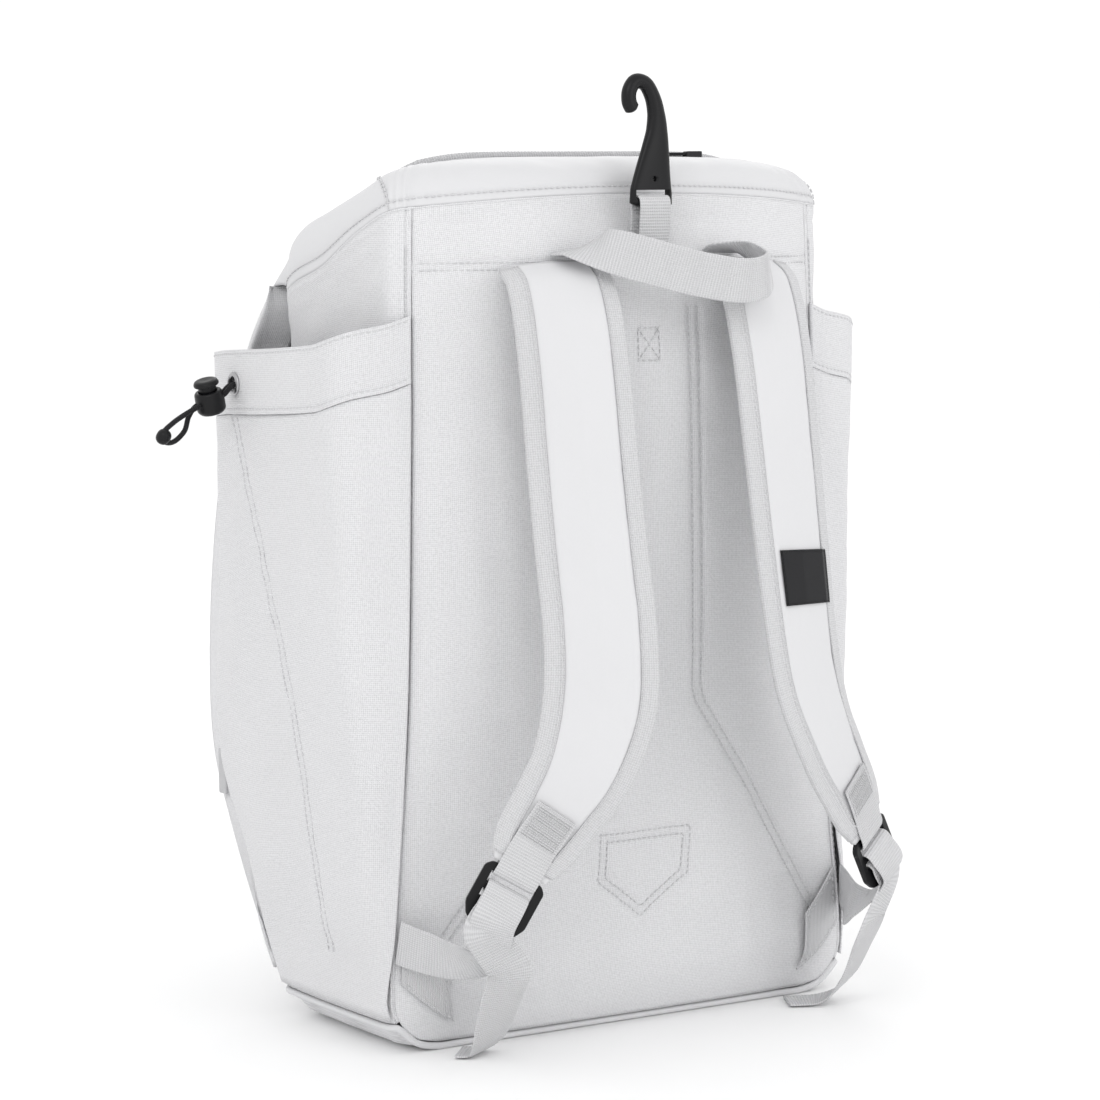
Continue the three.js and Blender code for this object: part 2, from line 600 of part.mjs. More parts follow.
// The foot line round the base: under the back panel, its corners, the sides and the front.
function footLine() {
  const line = BACK_STATIONS.map((t) => vec(t * seamHalf(EDGE_UP), 0, EDGE_UP));
  const turn = EDGE_UP + CORNER_RADIUS * (1 - Math.cos(radians(30)));
  line.push(vec(seamHalf(turn), 0, turn));
  for (const u of SIDE_STATIONS.slice(0, 9)) line.push(sideLine(SIDE_FOOT).getPoint(u));
  const edge = coverPoint(1, 3);
  line.push(edge);
  for (const share of [0.75, 0.5, 0.25, 0]) line.push(coverPoint(share, 3));
  return line;
}

const inset = (p, by, down) => {
  const out = vec(p.x / BACK_HALF, (p.y - 0.27 * BODY_DEPTH) / (0.27 * BODY_DEPTH), 0);
  out.set(Math.abs(out.x) > 0.9 ? out.x : out.x * 0.15, Math.abs(out.y) > 0.8 ? out.y : 0, 0).normalize();
  return vec(p.x - by * out.x, p.y - by * out.y, p.z - down);
};
const footRing = (by, down) => {
  const right = footLine().map((p) => inset(p, by, down));
  const left = right.slice(1, -1).reverse().map((p) => vec(-p.x, p.y, p.z));
  return [...right, ...left];
};

function basePanel() {
  const edge = footRing(2 * PIPING_RADIUS - 1 + SEAM_GAP, PIPING_RADIUS + 1.2);
  const rings = [[0, 1], [0.06, 0.25], [0.14, 0]].map(([inward, height]) =>
    edge.map((p) => vec(mix(p.x, 0.1 * p.x, inward), mix(p.y, 0.27 * BODY_DEPTH, inward), p.z * height)));
  const upper = rings.map((ring) => ring.map((p) => vec(p.x, p.y, p.z + BASE_CLOTH)));
  return loft([...rings.reverse(), ...upper]);
}

const basePiping = () => piping(footRing(PIPING_RADIUS - 1.2, PIPING_RADIUS + 0.55), PIPING_RADIUS, 5, true);

// Front pocket, its zipper and slider
function pocketPoint(s, t, lift = 0) {
  const { half, top, bottom, puff } = FRONT_POCKET;
  const rise = (1 - s ** 6) * (1 - (2 * t - 1) ** 6);
  return coverPoint(s * half, mix(top, bottom, t), 3 * SEAM_GAP + CLOTH + puff * rise + lift);
}
const frontPocket = () =>
  shell(steps(8, -1, 1).map((s) => steps(8).map((t) => pocketPoint(s, t))), () => CLOTH);
const ZIP_AT = 0.14;
function frontZipper() {
  const points = steps(10, -0.86, 0.86).map((s) => pocketPoint(s, ZIP_AT, SEAM_GAP + ZIP_THICK / 2));
  const across = points.map((_, i) => {
    const s = mix(-0.86, 0.86, i / (points.length - 1));
    return pocketPoint(s, ZIP_AT - 0.02).sub(pocketPoint(s, ZIP_AT + 0.02));
  });
  return ribbon(points, across, ZIP_WIDTH, ZIP_THICK);
}

// A slider with its pull, seated on a zipper at a point.
function boxOn(at, along, face, length, width, height, shift, lift) {
  const side = face.clone().cross(along).normalize();
  const box = new THREE.BoxGeometry(length, width, height).translate(shift, 0, lift + height / 2);
  const matrix = new THREE.Matrix4().makeBasis(along, side, face).setPosition(at);
  return box.applyMatrix4(matrix);
}
function lidSliderPlace() {
  const share = SLIDER.at / (seamHalf(BODY_HEIGHT) * YOKE_STATIONS) * BACK_COUNT;
  const { face } = rim(share);
  return { at: fromRim(share, CLOTH + SEAM_GAP + ZIP_WIDTH / 2, -0.4), face, along: vec(-1, 0, 0) };
}
function frontSlider() {
  const at = pocketPoint(0.7, ZIP_AT, SEAM_GAP + ZIP_THICK + 1.3);
  const face = at.clone().sub(pocketPoint(0.7, ZIP_AT)).normalize();
  const along = pocketPoint(0.6, ZIP_AT).sub(pocketPoint(0.8, ZIP_AT));
  along.addScaledVector(face, -along.dot(face)).normalize();
  return boxOn(at, along, face, SLIDER.long, SLIDER.wide, SLIDER.high, 0, 0);
}

// Bat pocket outline at one height, from the back seam round to its front seam.
const pocket = (z, column) => read(POCKET_ROWS, 'up', z / BODY_HEIGHT, column);
const POCKET_STATIONS = [0, 1, 2, 3, 4, 4.6, 5.3, 6, 7, 8, 9].map((i) => i / 9);
function pocketLine(z) {
  const seam = seamHalf(z);
  const wall = body(z, 'wall') * BACK_HALF;
  const half = pocket(z, 'half') * BACK_HALF;
  const front = pocket(z, 'front') * BODY_DEPTH;
  const flare = half - seam;
  return new THREE.CatmullRomCurve3([
    vec(seam + 1.4 + seamTuck(z), -2.4 - 1.8 * seamTuck(z), z),
    vec(seam + 0.3 * flare + 2 * seamTuck(z), -1.8 * seamTuck(z), z),
    vec(seam + 0.75 * flare, 7, z),
    vec(half - 0.06 * flare, 15, z),
    vec(half, 28, z),
    vec(half + 0.5, 75, z),
    vec(half - 0.5, front - 34, z),
    vec(mix(half, wall, 0.2), front - 10, z),
    vec(mix(wall, half, 0.45) + 1.4, front - 0.5, z),
    vec(wall + 1.4, front + 2.5, z),
  ], false, 'centripetal');
}
function pocketPlace(w, z) {
  const full = pocketLine(z).getPoint(w);
  const low = 1 - ease(POCKET_FOOT, POCKET_FLARE_END, z);
  if (low === 0) return full;
  const wall = sideLine(z);
  const u = mix(0.09, 0.93, w);
  const run = wall.getPoint(u + 0.01).sub(wall.getPoint(u - 0.01)).normalize();
  const near = wall.getPoint(u).addScaledVector(vec(run.y, -run.x, 0), POCKET_CLOTH + 1.5);
  return full.lerp(near, low);
}
const rimHeight = (w) => mix(RIM_FRONT, RIM_BACK, (1 - w) ** RIM_CURVE);

const batPocket = () => shell(POCKET_STATIONS.map((w) =>
  steps(9).map((t) => pocketPlace(w, mix(POCKET_FOOT, rimHeight(w) - HEM_HEIGHT - SEAM_GAP, t ** 0.8)))),
  () => POCKET_CLOTH);
const hemWall = () => shell(POCKET_STATIONS.map((w) =>
  steps(2).map((t) => pocketPlace(w, rimHeight(w) - HEM_HEIGHT * (1 - t)))), () => POCKET_CLOTH);

const grommetPlace = () => {
  const z = RIM_FRONT - GROMMET.drop;
  const line = pocketLine(z);
  const at = steps(60, 0.5, 0.8).map((u) => line.getPoint(u))
    .reduce((best, p) => (Math.abs(p.y - GROMMET.deep) < Math.abs(best.y - GROMMET.deep) ? p : best));
  return at.setY(GROMMET.deep);
};
const turnedX = (geometry, at) => geometry.rotateZ(-Math.PI / 2).translate(at.x, at.y, at.z);
const pocketHem = () => cut(hemWall(), turnedX(
  new THREE.CylinderGeometry(GROMMET.bore + 1.1, GROMMET.bore + 1.1, 12, 12), grommetPlace()));
function grommet() {
  const { bore, flange, thick } = GROMMET;
  const half = POCKET_CLOTH / 2 + SEAM_GAP + 0.4;
  const profile = [[bore, -half], [bore + 0.8, -half], [bore + 0.8, half], [flange, half],
    [flange - 0.8, half + thick], [bore + 0.4, half + thick], [bore, half + 0.5], [bore, -half]];
  const ring = new THREE.LatheGeometry(profile.map(([r, h]) => new THREE.Vector2(r, h)), 12);
  return turnedX(ring, grommetPlace().add(vec(-POCKET_CLOTH / 2, 0, 0)));
}

// Draw cord, lock and bead
const fromGrommet = (out, deep, up) => vec(out, deep, up).add(grommetPlace());
const lockMiddle = () => fromGrommet(LOCK_AT.out, LOCK_AT.deep, LOCK_AT.up);
const cordLine = () =>
  new THREE.CatmullRomCurve3(CORD_ROUTE.map((step) => fromGrommet(...step)), false, 'centripetal');
function drawCord() {
  const section = new THREE.Shape().absarc(0, 0, CORD_RADIUS, 0, 2 * Math.PI);
  const tube = new THREE.ExtrudeGeometry(section, { steps: CORD_STEPS, curveSegments: 4, extrudePath: cordLine() });
  return fromManifold(toManifold(tube));
}
// Room for the cord between two of its steps.
function cordBore(from, to) {
  const line = cordLine();
  const loops = [];
  for (let k = from; k <= to; k++) {
    const at = line.getPointAt(k / CORD_STEPS);
    const along = line.getTangentAt(k / CORD_STEPS);
    const side = vec(0, 1, 0).addScaledVector(along, -along.y).normalize();
    loops.push(ringAt(at, side, along.clone().cross(side), CORD_RADIUS + CORD_CLEAR, 8));
  }
  return loft(loops);
}
function ringAt(at, side, up, radius, sides) {
  return steps(sides).slice(1).map((t) => {
    const turn = 2 * Math.PI * t;
    return at.clone().addScaledVector(side, radius * Math.cos(turn)).addScaledVector(up, radius * Math.sin(turn));
  });
}

// The slot that both runs of the cord share through the lock. rise makes room above the cord.
function lockSlot(rise) {
  const [near, far] = [CORD_ROUTE[2], CORD_ROUTE[4]].map(([out, , up]) => fromGrommet(out, LOCK_AT.deep, up));
  const run = far.clone().sub(near).normalize();
  const apart = CORD_ROUTE[CORD_ROUTE.length - 4][1] - CORD_ROUTE[3][1];
  const high = 2 * (CORD_RADIUS + CORD_CLEAR) + rise;
  const sideways = rise * LOCK_LEAN.deep; // pressed along the lean, the button also moves across the cord
  const wide = apart + 2 * (CORD_RADIUS + CORD_CLEAR) + Math.abs(sideways);
  const slot = new THREE.BoxGeometry(4 * LOCK.radius, wide, high);
  const up = vec(-run.z, 0, run.x);
  const middle = lockMiddle().addScaledVector(up, rise / 2).add(vec(0, sideways / 2, 0));
  return slot.applyMatrix4(new THREE.Matrix4().makeBasis(run, up.clone().cross(run), up).setPosition(middle));
}

const lockAxis = () => vec(LOCK_LEAN.out, LOCK_LEAN.deep, 1).normalize();
function onLock(geometry) {
  const turn = new THREE.Quaternion().setFromUnitVectors(vec(0, 1, 0), lockAxis());
  const { x, y, z } = lockMiddle();
  return geometry.applyQuaternion(turn).translate(x, y, z);
}
const turned = (profile, segments) =>
  new THREE.LatheGeometry(profile.map(([r, h]) => new THREE.Vector2(r, h)), segments);
function lockBarrel() {
  const { radius, height, bore, wall, lift } = LOCK;
  const low = -height / 2;
  const top = height / 2 - lift;
  const cup = turned([[0, low], [radius - 1.4, low], [radius - 0.2, low + 2.2], [radius - 0.4, top - 1],
    [radius - 1.4, top], [bore, top], [bore, low + wall], [0, low + wall]], 12);
  return cut(onLock(cup), lockSlot(0));
}
function lockButton() {
  const { travel, clear, cap, capHeight } = BUTTON;
  const stem = LOCK.bore - clear;
  const foot = -LOCK.height / 2 + LOCK.wall + travel + clear;
  const seat = LOCK.height / 2 - LOCK.lift + travel + clear;
  const body = turned([[0, foot], [stem, foot], [stem, seat], [cap - 0.3, seat], [cap, seat + 1],
    [cap - 1, seat + capHeight - 0.7], [cap - 2.6, seat + capHeight], [0, seat + capHeight - 0.4]], 12);
  return cut(onLock(body), lockSlot(travel + CORD_CLEAR));
}
function cordBead() {
  const { x, y, z } = fromGrommet(BEAD_AT.out, BEAD_AT.deep, BEAD_AT.up);
  return cut(new THREE.SphereGeometry(BEAD_RADIUS, 10, 8).translate(x, y, z), cordBore(...BEAD_STEPS));
}

// Shoulder strap: the middle line, and a frame on it
const strapRow = (t, column) => read(STRAP_ROWS, 'down', t, column);
function strapMiddle(t) {
  const x = BACK_HALF * strapRow(t, 'out');
  const z = BODY_HEIGHT * strapRow(t, 'up');
  return vec(x, backFace(x, z) - STRAP_REACH * strapRow(t, 'off'), z);
}
function strapFrame(t) {
  const at = strapMiddle(t);
  const along = strapMiddle(Math.min(t + 0.01, 1)).sub(strapMiddle(Math.max(t - 0.01, 0))).normalize();
  const tilt = radians(strapRow(t, 'tilt'));
  const across = vec(Math.cos(tilt), Math.sin(tilt), 0);
  across.addScaledVector(along, -across.dot(along)).normalize();
  return { at, along, across, face: along.clone().cross(across).negate() };
}
// Half thickness of a strap across its width: flat bound edges and a padded middle.
const STRAP_COLUMNS = [[-1, 0], [-0.8, 0.12], [-0.62, 0.8], [0, 1], [0.62, 0.8], [0.8, 0.12], [1, 0]];
function strapFill(share) {
  const i = STRAP_COLUMNS.findIndex(([s]) => s >= share);
  const [[s0, f0], [s1, f1]] = [STRAP_COLUMNS[i - 1], STRAP_COLUMNS[i]];
  return mix(f0, f1, (share - s0) / (s1 - s0));
}
function shoulderStrap() {
  const loops = [...steps(13, 0, 0.86), 0.9, 0.94, 0.975, 1].map((t) => {
    const { at, across, face } = strapFrame(t);
    const wide = (STRAP_WIDTH * strapRow(t, 'wide')) / 2;
    const padded = ease(-0.03, 0.04, t) * (1 - 0.75 * ease(0.85, 1, t));
    const edge = (share, fill, side) => at.clone().addScaledVector(across, share * wide)
      .addScaledVector(face, side * (STRAP_EDGE + (STRAP_THICK - STRAP_EDGE) * fill * padded) / 2);
    return [...STRAP_COLUMNS.map(([s, f]) => edge(s, f, 1)),
      ...STRAP_COLUMNS.slice().reverse().map(([s, f]) => edge(s, f, -1))];
  });
  return loft(loops);
}
const strapTop = (t) => {
  const padded = 1 - 0.75 * ease(0.85, 1, t);
  return (STRAP_EDGE + (STRAP_THICK - STRAP_EDGE) * padded) / 2;
};

// The ladder lock's own frame starts at the strap's end: a across, d down the strap, n towards the bag.
function lockPlace(d, n, a = 0) {
  const { at, along, across, face } = strapFrame(1);
  return at.addScaledVector(along, d).addScaledVector(face, n).addScaledVector(across, a);
}
const lockAcross = () => strapFrame(1).across;
function ladderLock() {
  const { half, start, top, slot, mid, slot2, plate, thick, reach } = LOCK_BARS;
  const foot = start + top + slot + mid + slot2 + plate;
  const outline = new THREE.Shape();
  outline.moveTo(-half + 3, start);
  outline.lineTo(half - 3, start);
  outline.quadraticCurveTo(half, start, half, start + 3);
  outline.lineTo(half, foot - 9);
  outline.quadraticCurveTo(half - 1, foot, half - 10, foot);
  outline.lineTo(-half + 10, foot);
  outline.quadraticCurveTo(-half + 1, foot, -half, foot - 9);
  outline.lineTo(-half, start + 3);
  outline.quadraticCurveTo(-half, start, -half + 3, start);
  const window = (from, high) => new THREE.Path([[-reach, from], [reach, from], [reach, from + high],
    [-reach, from + high]].map(([x, y]) => new THREE.Vector2(x, y)));
  outline.holes.push(window(start + top, slot), window(start + top + slot + mid, slot2));
  const plateShape = new THREE.ExtrudeGeometry(outline, { depth: thick, bevelEnabled: false, curveSegments: 4 });
  const { at, along, across, face } = strapFrame(1);
  const basis = new THREE.Matrix4().makeBasis(across, along, face).setPosition(at);
  return plateShape.translate(0, 0, -thick / 2).applyMatrix4(basis);
}
const BAR = () => {
  const { start, top, slot, mid, slot2 } = LOCK_BARS;
  return { first: start + top, second: start + top + slot, third: start + top + slot + mid + slot2 };
};

function strapEndWebbing() {
  const lie = (t) => {
    const { at, face } = strapFrame(t);
    return at.addScaledVector(face, -strapTop(t) - SEAM_GAP - WEBBING_THICK / 2 - 0.2);
  };
  const { first } = BAR();
  const bend = LOCK_BARS.thick / 2 + SEAM_GAP + WEBBING_THICK / 2 + 0.3;
  const points = [lie(0.865), lie(0.9), lie(0.94), lie(0.98), lockPlace(first - 1.5, -bend - 0.4),
    lockPlace(first + 1.4, 1.2 - bend), lockPlace(first + 1.7, 0), lockPlace(first + 1.4, bend - 1.2),
    lockPlace(first - 2, bend), lockPlace(-4, bend + 0.4), lockPlace(-11, bend + 1.2)];
  const across = points.map((_, i) => (i < 4 ? strapFrame([0.865, 0.9, 0.94, 0.98][i]).across : lockAcross()));
  const smooth = route(points, across, 2);
  return ribbon(smooth.points, smooth.across, WEBBING, WEBBING_THICK);
}

// One length of webbing: from the anchor up behind the lock, over its middle bar, and down as the tail.
function lowerWebbing(tail) {
  const { second, third } = BAR();
  const near = LOCK_BARS.thick / 2 + SEAM_GAP + WEBBING_THICK / 2 + 0.3;
  const far = near + 2.6;
  const threaded = [[third + 9, -far - 2.2], [second + 4.5, -far], [second - 0.6, -near - 0.4],
    [second - 1.9, 0], [second - 0.9, near - 0.6], [second + 1.5, near], [second + 3.9, near - 0.6],
    [second + 4.8, -0.2], [third - 1.2, -near - 0.3], [third + 4, -near - 0.6], [third + 15, -near - 0.4]];
  const start = LOWER_START.map(({ out, deep, up }) => vec(out, deep, up * BODY_HEIGHT));
  const foot = lockPlace(...threaded[threaded.length - 1]);
  const fall = tail.map(({ out, deep, up }) => vec(foot.x + out, foot.y + deep, mix(WEBBING_THICK, foot.z, up)));
  const points = [...start, ...threaded.map(([d, n]) => lockPlace(d, n)), ...fall];
  const upright = [vec(0, 0.02, 1), vec(0.15, 0.1, 1), vec(0.45, 0.15, 0.8), vec(0.8, 0.2, 0.55)];
  const heading = ({ turn }) => vec(Math.cos(radians(turn)), Math.sin(radians(turn)), 0);
  const across = [...upright, ...threaded.map(lockAcross), ...tail.map(heading)];
  const smooth = route(points, across, 2);
  return ribbon(smooth.points, smooth.across, WEBBING, WEBBING_THICK);
}

function anchorTab() {
  const { top, bottom, drop, reach } = ANCHOR;
  return shell(steps(3).map((s) => steps(3).map((t) => {
    const z = mix(bottom, top, t) - drop * s;
    const x = seamHalf(z) - 3 - reach * s;
    return vec(x, backFace(x, z) - SEAM_GAP - WEBBING_THICK - 0.3, z);
  })), () => WEBBING_THICK);
}

function strapLabel() {
  const strapLength = new THREE.CatmullRomCurve3(steps(12).map(strapMiddle)).getLength();
  const grid = steps(6, -1, 1).map((s) => steps(3, -1, 1).map((r) => {
    const along = LABEL.down + (r * LABEL.high) / 2 / strapLength;
    const { at, across, face } = strapFrame(along);
    const share = (s * LABEL.wide + 2 * LABEL.shift) / STRAP_WIDTH;
    const high = (STRAP_EDGE + (STRAP_THICK - STRAP_EDGE) * strapFill(share)) / 2 + SEAM_GAP + LABEL.thick;
    return at.addScaledVector(across, (share * STRAP_WIDTH) / 2).addScaledVector(face, -high);
  }));
  return shell(grid, () => LABEL.thick);
}

// Grab handle and hook
function grabHandle() {
  const { out: half, up: high } = HANDLE_SEAT;
  const seat = { deep: backFace(half - WEBBING / 2, high) - SEAM_GAP, up: 0, lean: 0 };
  const rows = [{ out: -half, twist: 88, ...seat }, ...HANDLE_ROUTE, { out: half, twist: -88, ...seat }];
  const points = rows.map(({ out, deep, up }) => vec(out, deep, high + up));
  const across = rows.map(({ twist, lean }) => vec(Math.sin(radians(twist)),
    -Math.sin(radians(lean)) * Math.cos(radians(twist)), Math.cos(radians(lean)) * Math.cos(radians(twist))));
  const smooth = route(points, across, 3);
  return ribbon(smooth.points, smooth.across, WEBBING, HANDLE_THICK);
}

// The hook's middle line and half width, in mm from the middle of its base.
const HOOK_ROWS = [
  { out: 0, up: 0, half: 13.5 },
  { out: 0.4, up: 9, half: 13.2 },
  { out: 1.6, up: 19, half: 11.2 },
  { out: 3.4, up: 31, half: 8.8 },
  { out: 4.6, up: 42, half: 6.6 },
  { out: 4.2, up: 52, half: 5.2 },
  { out: 1.8, up: 61, half: 4.5 },
  { out: -3, up: 68, half: 4.2 },
  { out: -9, up: 69, half: 4.2 },
  { out: -13, up: 64, half: 4.2 },
  { out: -13.2, up: 57.5, half: 4.3 },
  { out: -10.2, up: 52.5, half: 4.2 },
];
function fenceHook() {
  const line = new THREE.CatmullRomCurve3(HOOK_ROWS.map(({ out, up }) => vec(out, 0, up)), false, 'centripetal');
  const total = HOOK_ROWS.length - 1;
  const loops = steps(18).map((t) => {
    const at = line.getPoint(t);
    const along = line.getTangent(t);
    const side = vec(along.z, 0, -along.x);
    const i = Math.min(Math.floor(t * total), total - 1);
    const half = mix(HOOK_ROWS[i].half, HOOK_ROWS[i + 1].half, t * total - i);
    const thick = mix(HOOK.thick / 2, 4, ease(0, 0.6, t));
    const end = t > 0.999 ? 0.6 : 1;
    return steps(8).slice(0, 8).map((turn) => {
      const a = 2 * Math.PI * turn;
      return at.clone().addScaledVector(side, end * half * Math.cos(a)).add(vec(0, end * thick * Math.sin(a), 0));
    });
  });
  const hook = loft(loops);
  const slot = new THREE.BoxGeometry(HOOK.slotWide, 20, HOOK.slotHigh)
    .translate(0.2, 0, HOOK.bar + HOOK.slotHigh / 2);
  return cut(hook, slot).translate(HOOK.out, HOOK.deep, HOOK.base);
}
function hookWebbing() {
  const top = HOOK.base + HOOK.bar;
  const front = HOOK.deep - HOOK.thick / 2 - SEAM_GAP - WEBBING_THICK / 2 - 0.2;
  const rear = HOOK.deep + HOOK.thick / 2 + SEAM_GAP + WEBBING_THICK / 2 + 0.2;
  const under = backFace(0, HOOK_SEAT) - SEAM_GAP - WEBBING_THICK / 2 - 0.2;
  const over = under - WEBBING_THICK - SEAM_GAP;
  const points = [[over, HOOK_SEAT], [front + 2.6, HOOK_SEAT + 12], [front + 0.3, HOOK_SEAT + 24], [front, top - 1],
    [front + 1.4, top + 1.6], [HOOK.deep, top + 1.7], [rear - 1.4, top + 1.6], [rear, top - 1],
    [rear + 0.9, HOOK_SEAT + 20], [under, HOOK_SEAT]]
    .map(([y, z]) => vec(HOOK.out + 0.2, y, z));
  const smooth = route(points, points.map(() => vec(1, 0, 0)), 2);
  return ribbon(smooth.points, smooth.across, HOOK_WEBBING, WEBBING_THICK);
}

function frontTab() {
  const { deep, high, up, thick } = FRONT_TAB;
  const z = up + high / 2;
  const wall = body(z, 'wall') * BACK_HALF;
  const front = pocket(up + high, 'front') * BODY_DEPTH + 2.5;
  return new THREE.BoxGeometry(thick, deep, high).translate(wall + thick / 2 + 0.6, front + SEAM_GAP + 0.8 + deep / 2, z);
}

// Materials and assembly
const finish = (color, roughness, metalness = 0) => new THREE.MeshStandardMaterial({ color, roughness, metalness });
const WOVEN = () => finish(0xd9dadb, 0.85);
const SMOOTH = () => finish(0xe3e4e5, 0.55);
const RIBBED = () => finish(0xcfd0d1, 0.9);
const BLACK = () => finish(0x151516, 0.45);
const BLACK_CORD = () => finish(0x1a1a1b, 0.9);
const METAL = () => finish(0xb9babc, 0.35, 0.9);

const bag = new THREE.Group();
function add(name, geometry, material) {
  const mesh = new THREE.Mesh(geometry, material);
  mesh.name = name;
  bag.add(mesh);
}
function addPair(name, geometry, material) {
  add(`${name}_right`, geometry, material());
  add(`${name}_left`, mirrored(geometry), material());
}

add('back_panel', backPanel(), WOVEN());
addPair('side_panel', sidePanel(), WOVEN);
addPair('gusset', gusset(), WOVEN);
add('top_band', yoke(), SMOOTH());
add('lid_panel', lidPanel(), WOVEN());
add('front_panel', frontPanel(), WOVEN());
add('base_panel', basePanel(), WOVEN());
add('base_piping', basePiping(), SMOOTH());
add('lid_piping', lidPiping(), RIBBED());
add('lid_zipper', lidZipper(), RIBBED());
const sliderSeat = lidSliderPlace();
add('lid_slider', boxOn(sliderSeat.at, sliderSeat.along, sliderSeat.face, SLIDER.long, SLIDER.wide - 2,
  SLIDER.high, 0, SEAM_GAP), BLACK());
add('lid_pull', boxOn(sliderSeat.at, sliderSeat.along, sliderSeat.face, PULL.long, PULL.wide, PULL.thick,
  PULL.long / 2 + SLIDER.long / 2 + SEAM_GAP, SEAM_GAP + 1.6), BLACK());
add('front_pocket', frontPocket(), WOVEN());
add('front_zipper', frontZipper(), RIBBED());
add('front_slider', frontSlider(), BLACK());
addPair('front_tab', frontTab(), RIBBED);
addPair('bat_pocket', batPocket(), WOVEN);
addPair('pocket_hem', pocketHem(), WOVEN);
addPair('grommet', grommet(), METAL);
addPair('draw_cord', drawCord(), BLACK_CORD);
addPair('lock_barrel', lockBarrel(), BLACK);
addPair('lock_button', lockButton(), BLACK);
addPair('cord_bead', cordBead(), BLACK);
addPair('shoulder_strap', shoulderStrap(), SMOOTH);
addPair('strap_end_webbing', strapEndWebbing(), RIBBED);
addPair('ladder_lock', toIndexed(ladderLock()), BLACK);
add('lower_webbing_right', lowerWebbing(TAIL_RIGHT), RIBBED());
add('lower_webbing_left', mirrored(lowerWebbing(TAIL_LEFT)), RIBBED());
addPair('anchor_tab', anchorTab(), RIBBED);
add('grab_handle', grabHandle(), RIBBED());
add('fence_hook', fenceHook(), BLACK());
add('hook_webbing', hookWebbing(), RIBBED());
add('strap_label', strapLabel(), BLACK());

// A geometry with shared vertices and an index.
function toIndexed(geometry) {
  return fromManifold(toManifold(geometry));
}

// The part's frame stands at the middle of its box, so the bag is set back by half its depth.
const CORD_PIECES = /^(draw_cord|cord_bead|lock_)/;
const box = new THREE.Box3();
bag.children.filter((mesh) => !CORD_PIECES.test(mesh.name)).forEach((mesh) => box.expandByObject(mesh));
bag.position.y = -(box.min.y + box.max.y) / 2;

export default bag;
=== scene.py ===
import math

import bpy
import numpy as np
from mathutils import Matrix, Vector


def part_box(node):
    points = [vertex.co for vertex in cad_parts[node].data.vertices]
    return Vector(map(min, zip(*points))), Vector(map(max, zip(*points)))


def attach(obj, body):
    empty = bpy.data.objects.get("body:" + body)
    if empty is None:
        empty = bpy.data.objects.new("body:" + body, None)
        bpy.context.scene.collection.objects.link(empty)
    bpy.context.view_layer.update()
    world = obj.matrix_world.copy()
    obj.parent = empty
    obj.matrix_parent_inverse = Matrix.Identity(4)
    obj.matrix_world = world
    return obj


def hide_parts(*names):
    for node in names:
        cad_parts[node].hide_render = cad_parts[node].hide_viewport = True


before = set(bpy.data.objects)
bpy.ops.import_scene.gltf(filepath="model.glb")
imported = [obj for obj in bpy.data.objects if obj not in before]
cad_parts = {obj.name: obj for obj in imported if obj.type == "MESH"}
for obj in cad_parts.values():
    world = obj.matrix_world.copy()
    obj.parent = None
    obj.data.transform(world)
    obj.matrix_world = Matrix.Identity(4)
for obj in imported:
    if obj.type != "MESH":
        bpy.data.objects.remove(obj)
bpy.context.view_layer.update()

# Looks of a baseball bat backpack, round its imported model. Shapes are worked out in the bag's own frame:
# millimetres, z up from the floor, y = 0 at the back seams and the wearer's side towards -y. Paired pieces
# are shaped on the +x side and mirrored.
MM = 0.001
BACK_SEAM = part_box("side_panel_right")[0].y - 0.2 * MM
BAG = "bag"

BODY_HEIGHT = 468
BACK_HALF = 151
BODY_DEPTH = 233
BACK_BULGE = 37
BULGE_POWER = 3.2
TOP_ARCH = 6
CORNER_RADIUS = 26
PIPING_RADIUS = 2
CLOTH = 1.6
SEAM_GAP = 0.35
GROOVE_DEPTH = 18
FRONT_CROWN = 12
ZIP_WIDTH = 5
RIM_RADIUS = 3
LID_CORNER = (74, 66)
POCKET_CLOTH = 1.4
HEM_HEIGHT = 37
HEM_CLOTH = 2.015874
RIM_BACK = 409
RIM_FRONT = 384
RIM_CURVE = 1.6
POCKET_FOOT = 20
POCKET_FLARE_END = 72
GROMMET_DEEP = 122
GROMMET_UP = RIM_FRONT - 14.4
CORD_RADIUS = 1.5
STRAP_THICK = 11
STRAP_EDGE = 3
STRAP_REACH = 62
STRAP_WIDTH = 61
WEBBING = 25
WEBBING_THICK = 1.4
STITCH_LIFT = 0.15
WELT_RADIUS = 0.8
WELT_SIDES = 8
EDGE_UP = 2 * PIPING_RADIUS + 0.6
BAG_MIDDLE = (0, 110, 230)
YOKE_MIDDLE = (0, 110, 400)


# Numbers and lines
def table(columns, rows):
    return dict(zip(columns.split(), np.array(rows, float).T))


def mix(a, b, t):
    return a + (b - a) * t


def ease(low, high, at):
    t = np.clip((at - low) / (high - low), 0, 1)
    return t * t * (3 - 2 * t)


def point(x, y, z):
    return np.stack(np.broadcast_arrays(*(np.asarray(v, float) for v in (x, y, z))), -1)


def unit(v):
    return v / np.maximum(np.linalg.norm(v, axis=-1, keepdims=True), 1e-9)


def dot(a, b):
    return (a * b).sum(-1, keepdims=True)


def turned(rows):
    return np.asarray(rows, float) * (-1, 1, 1)


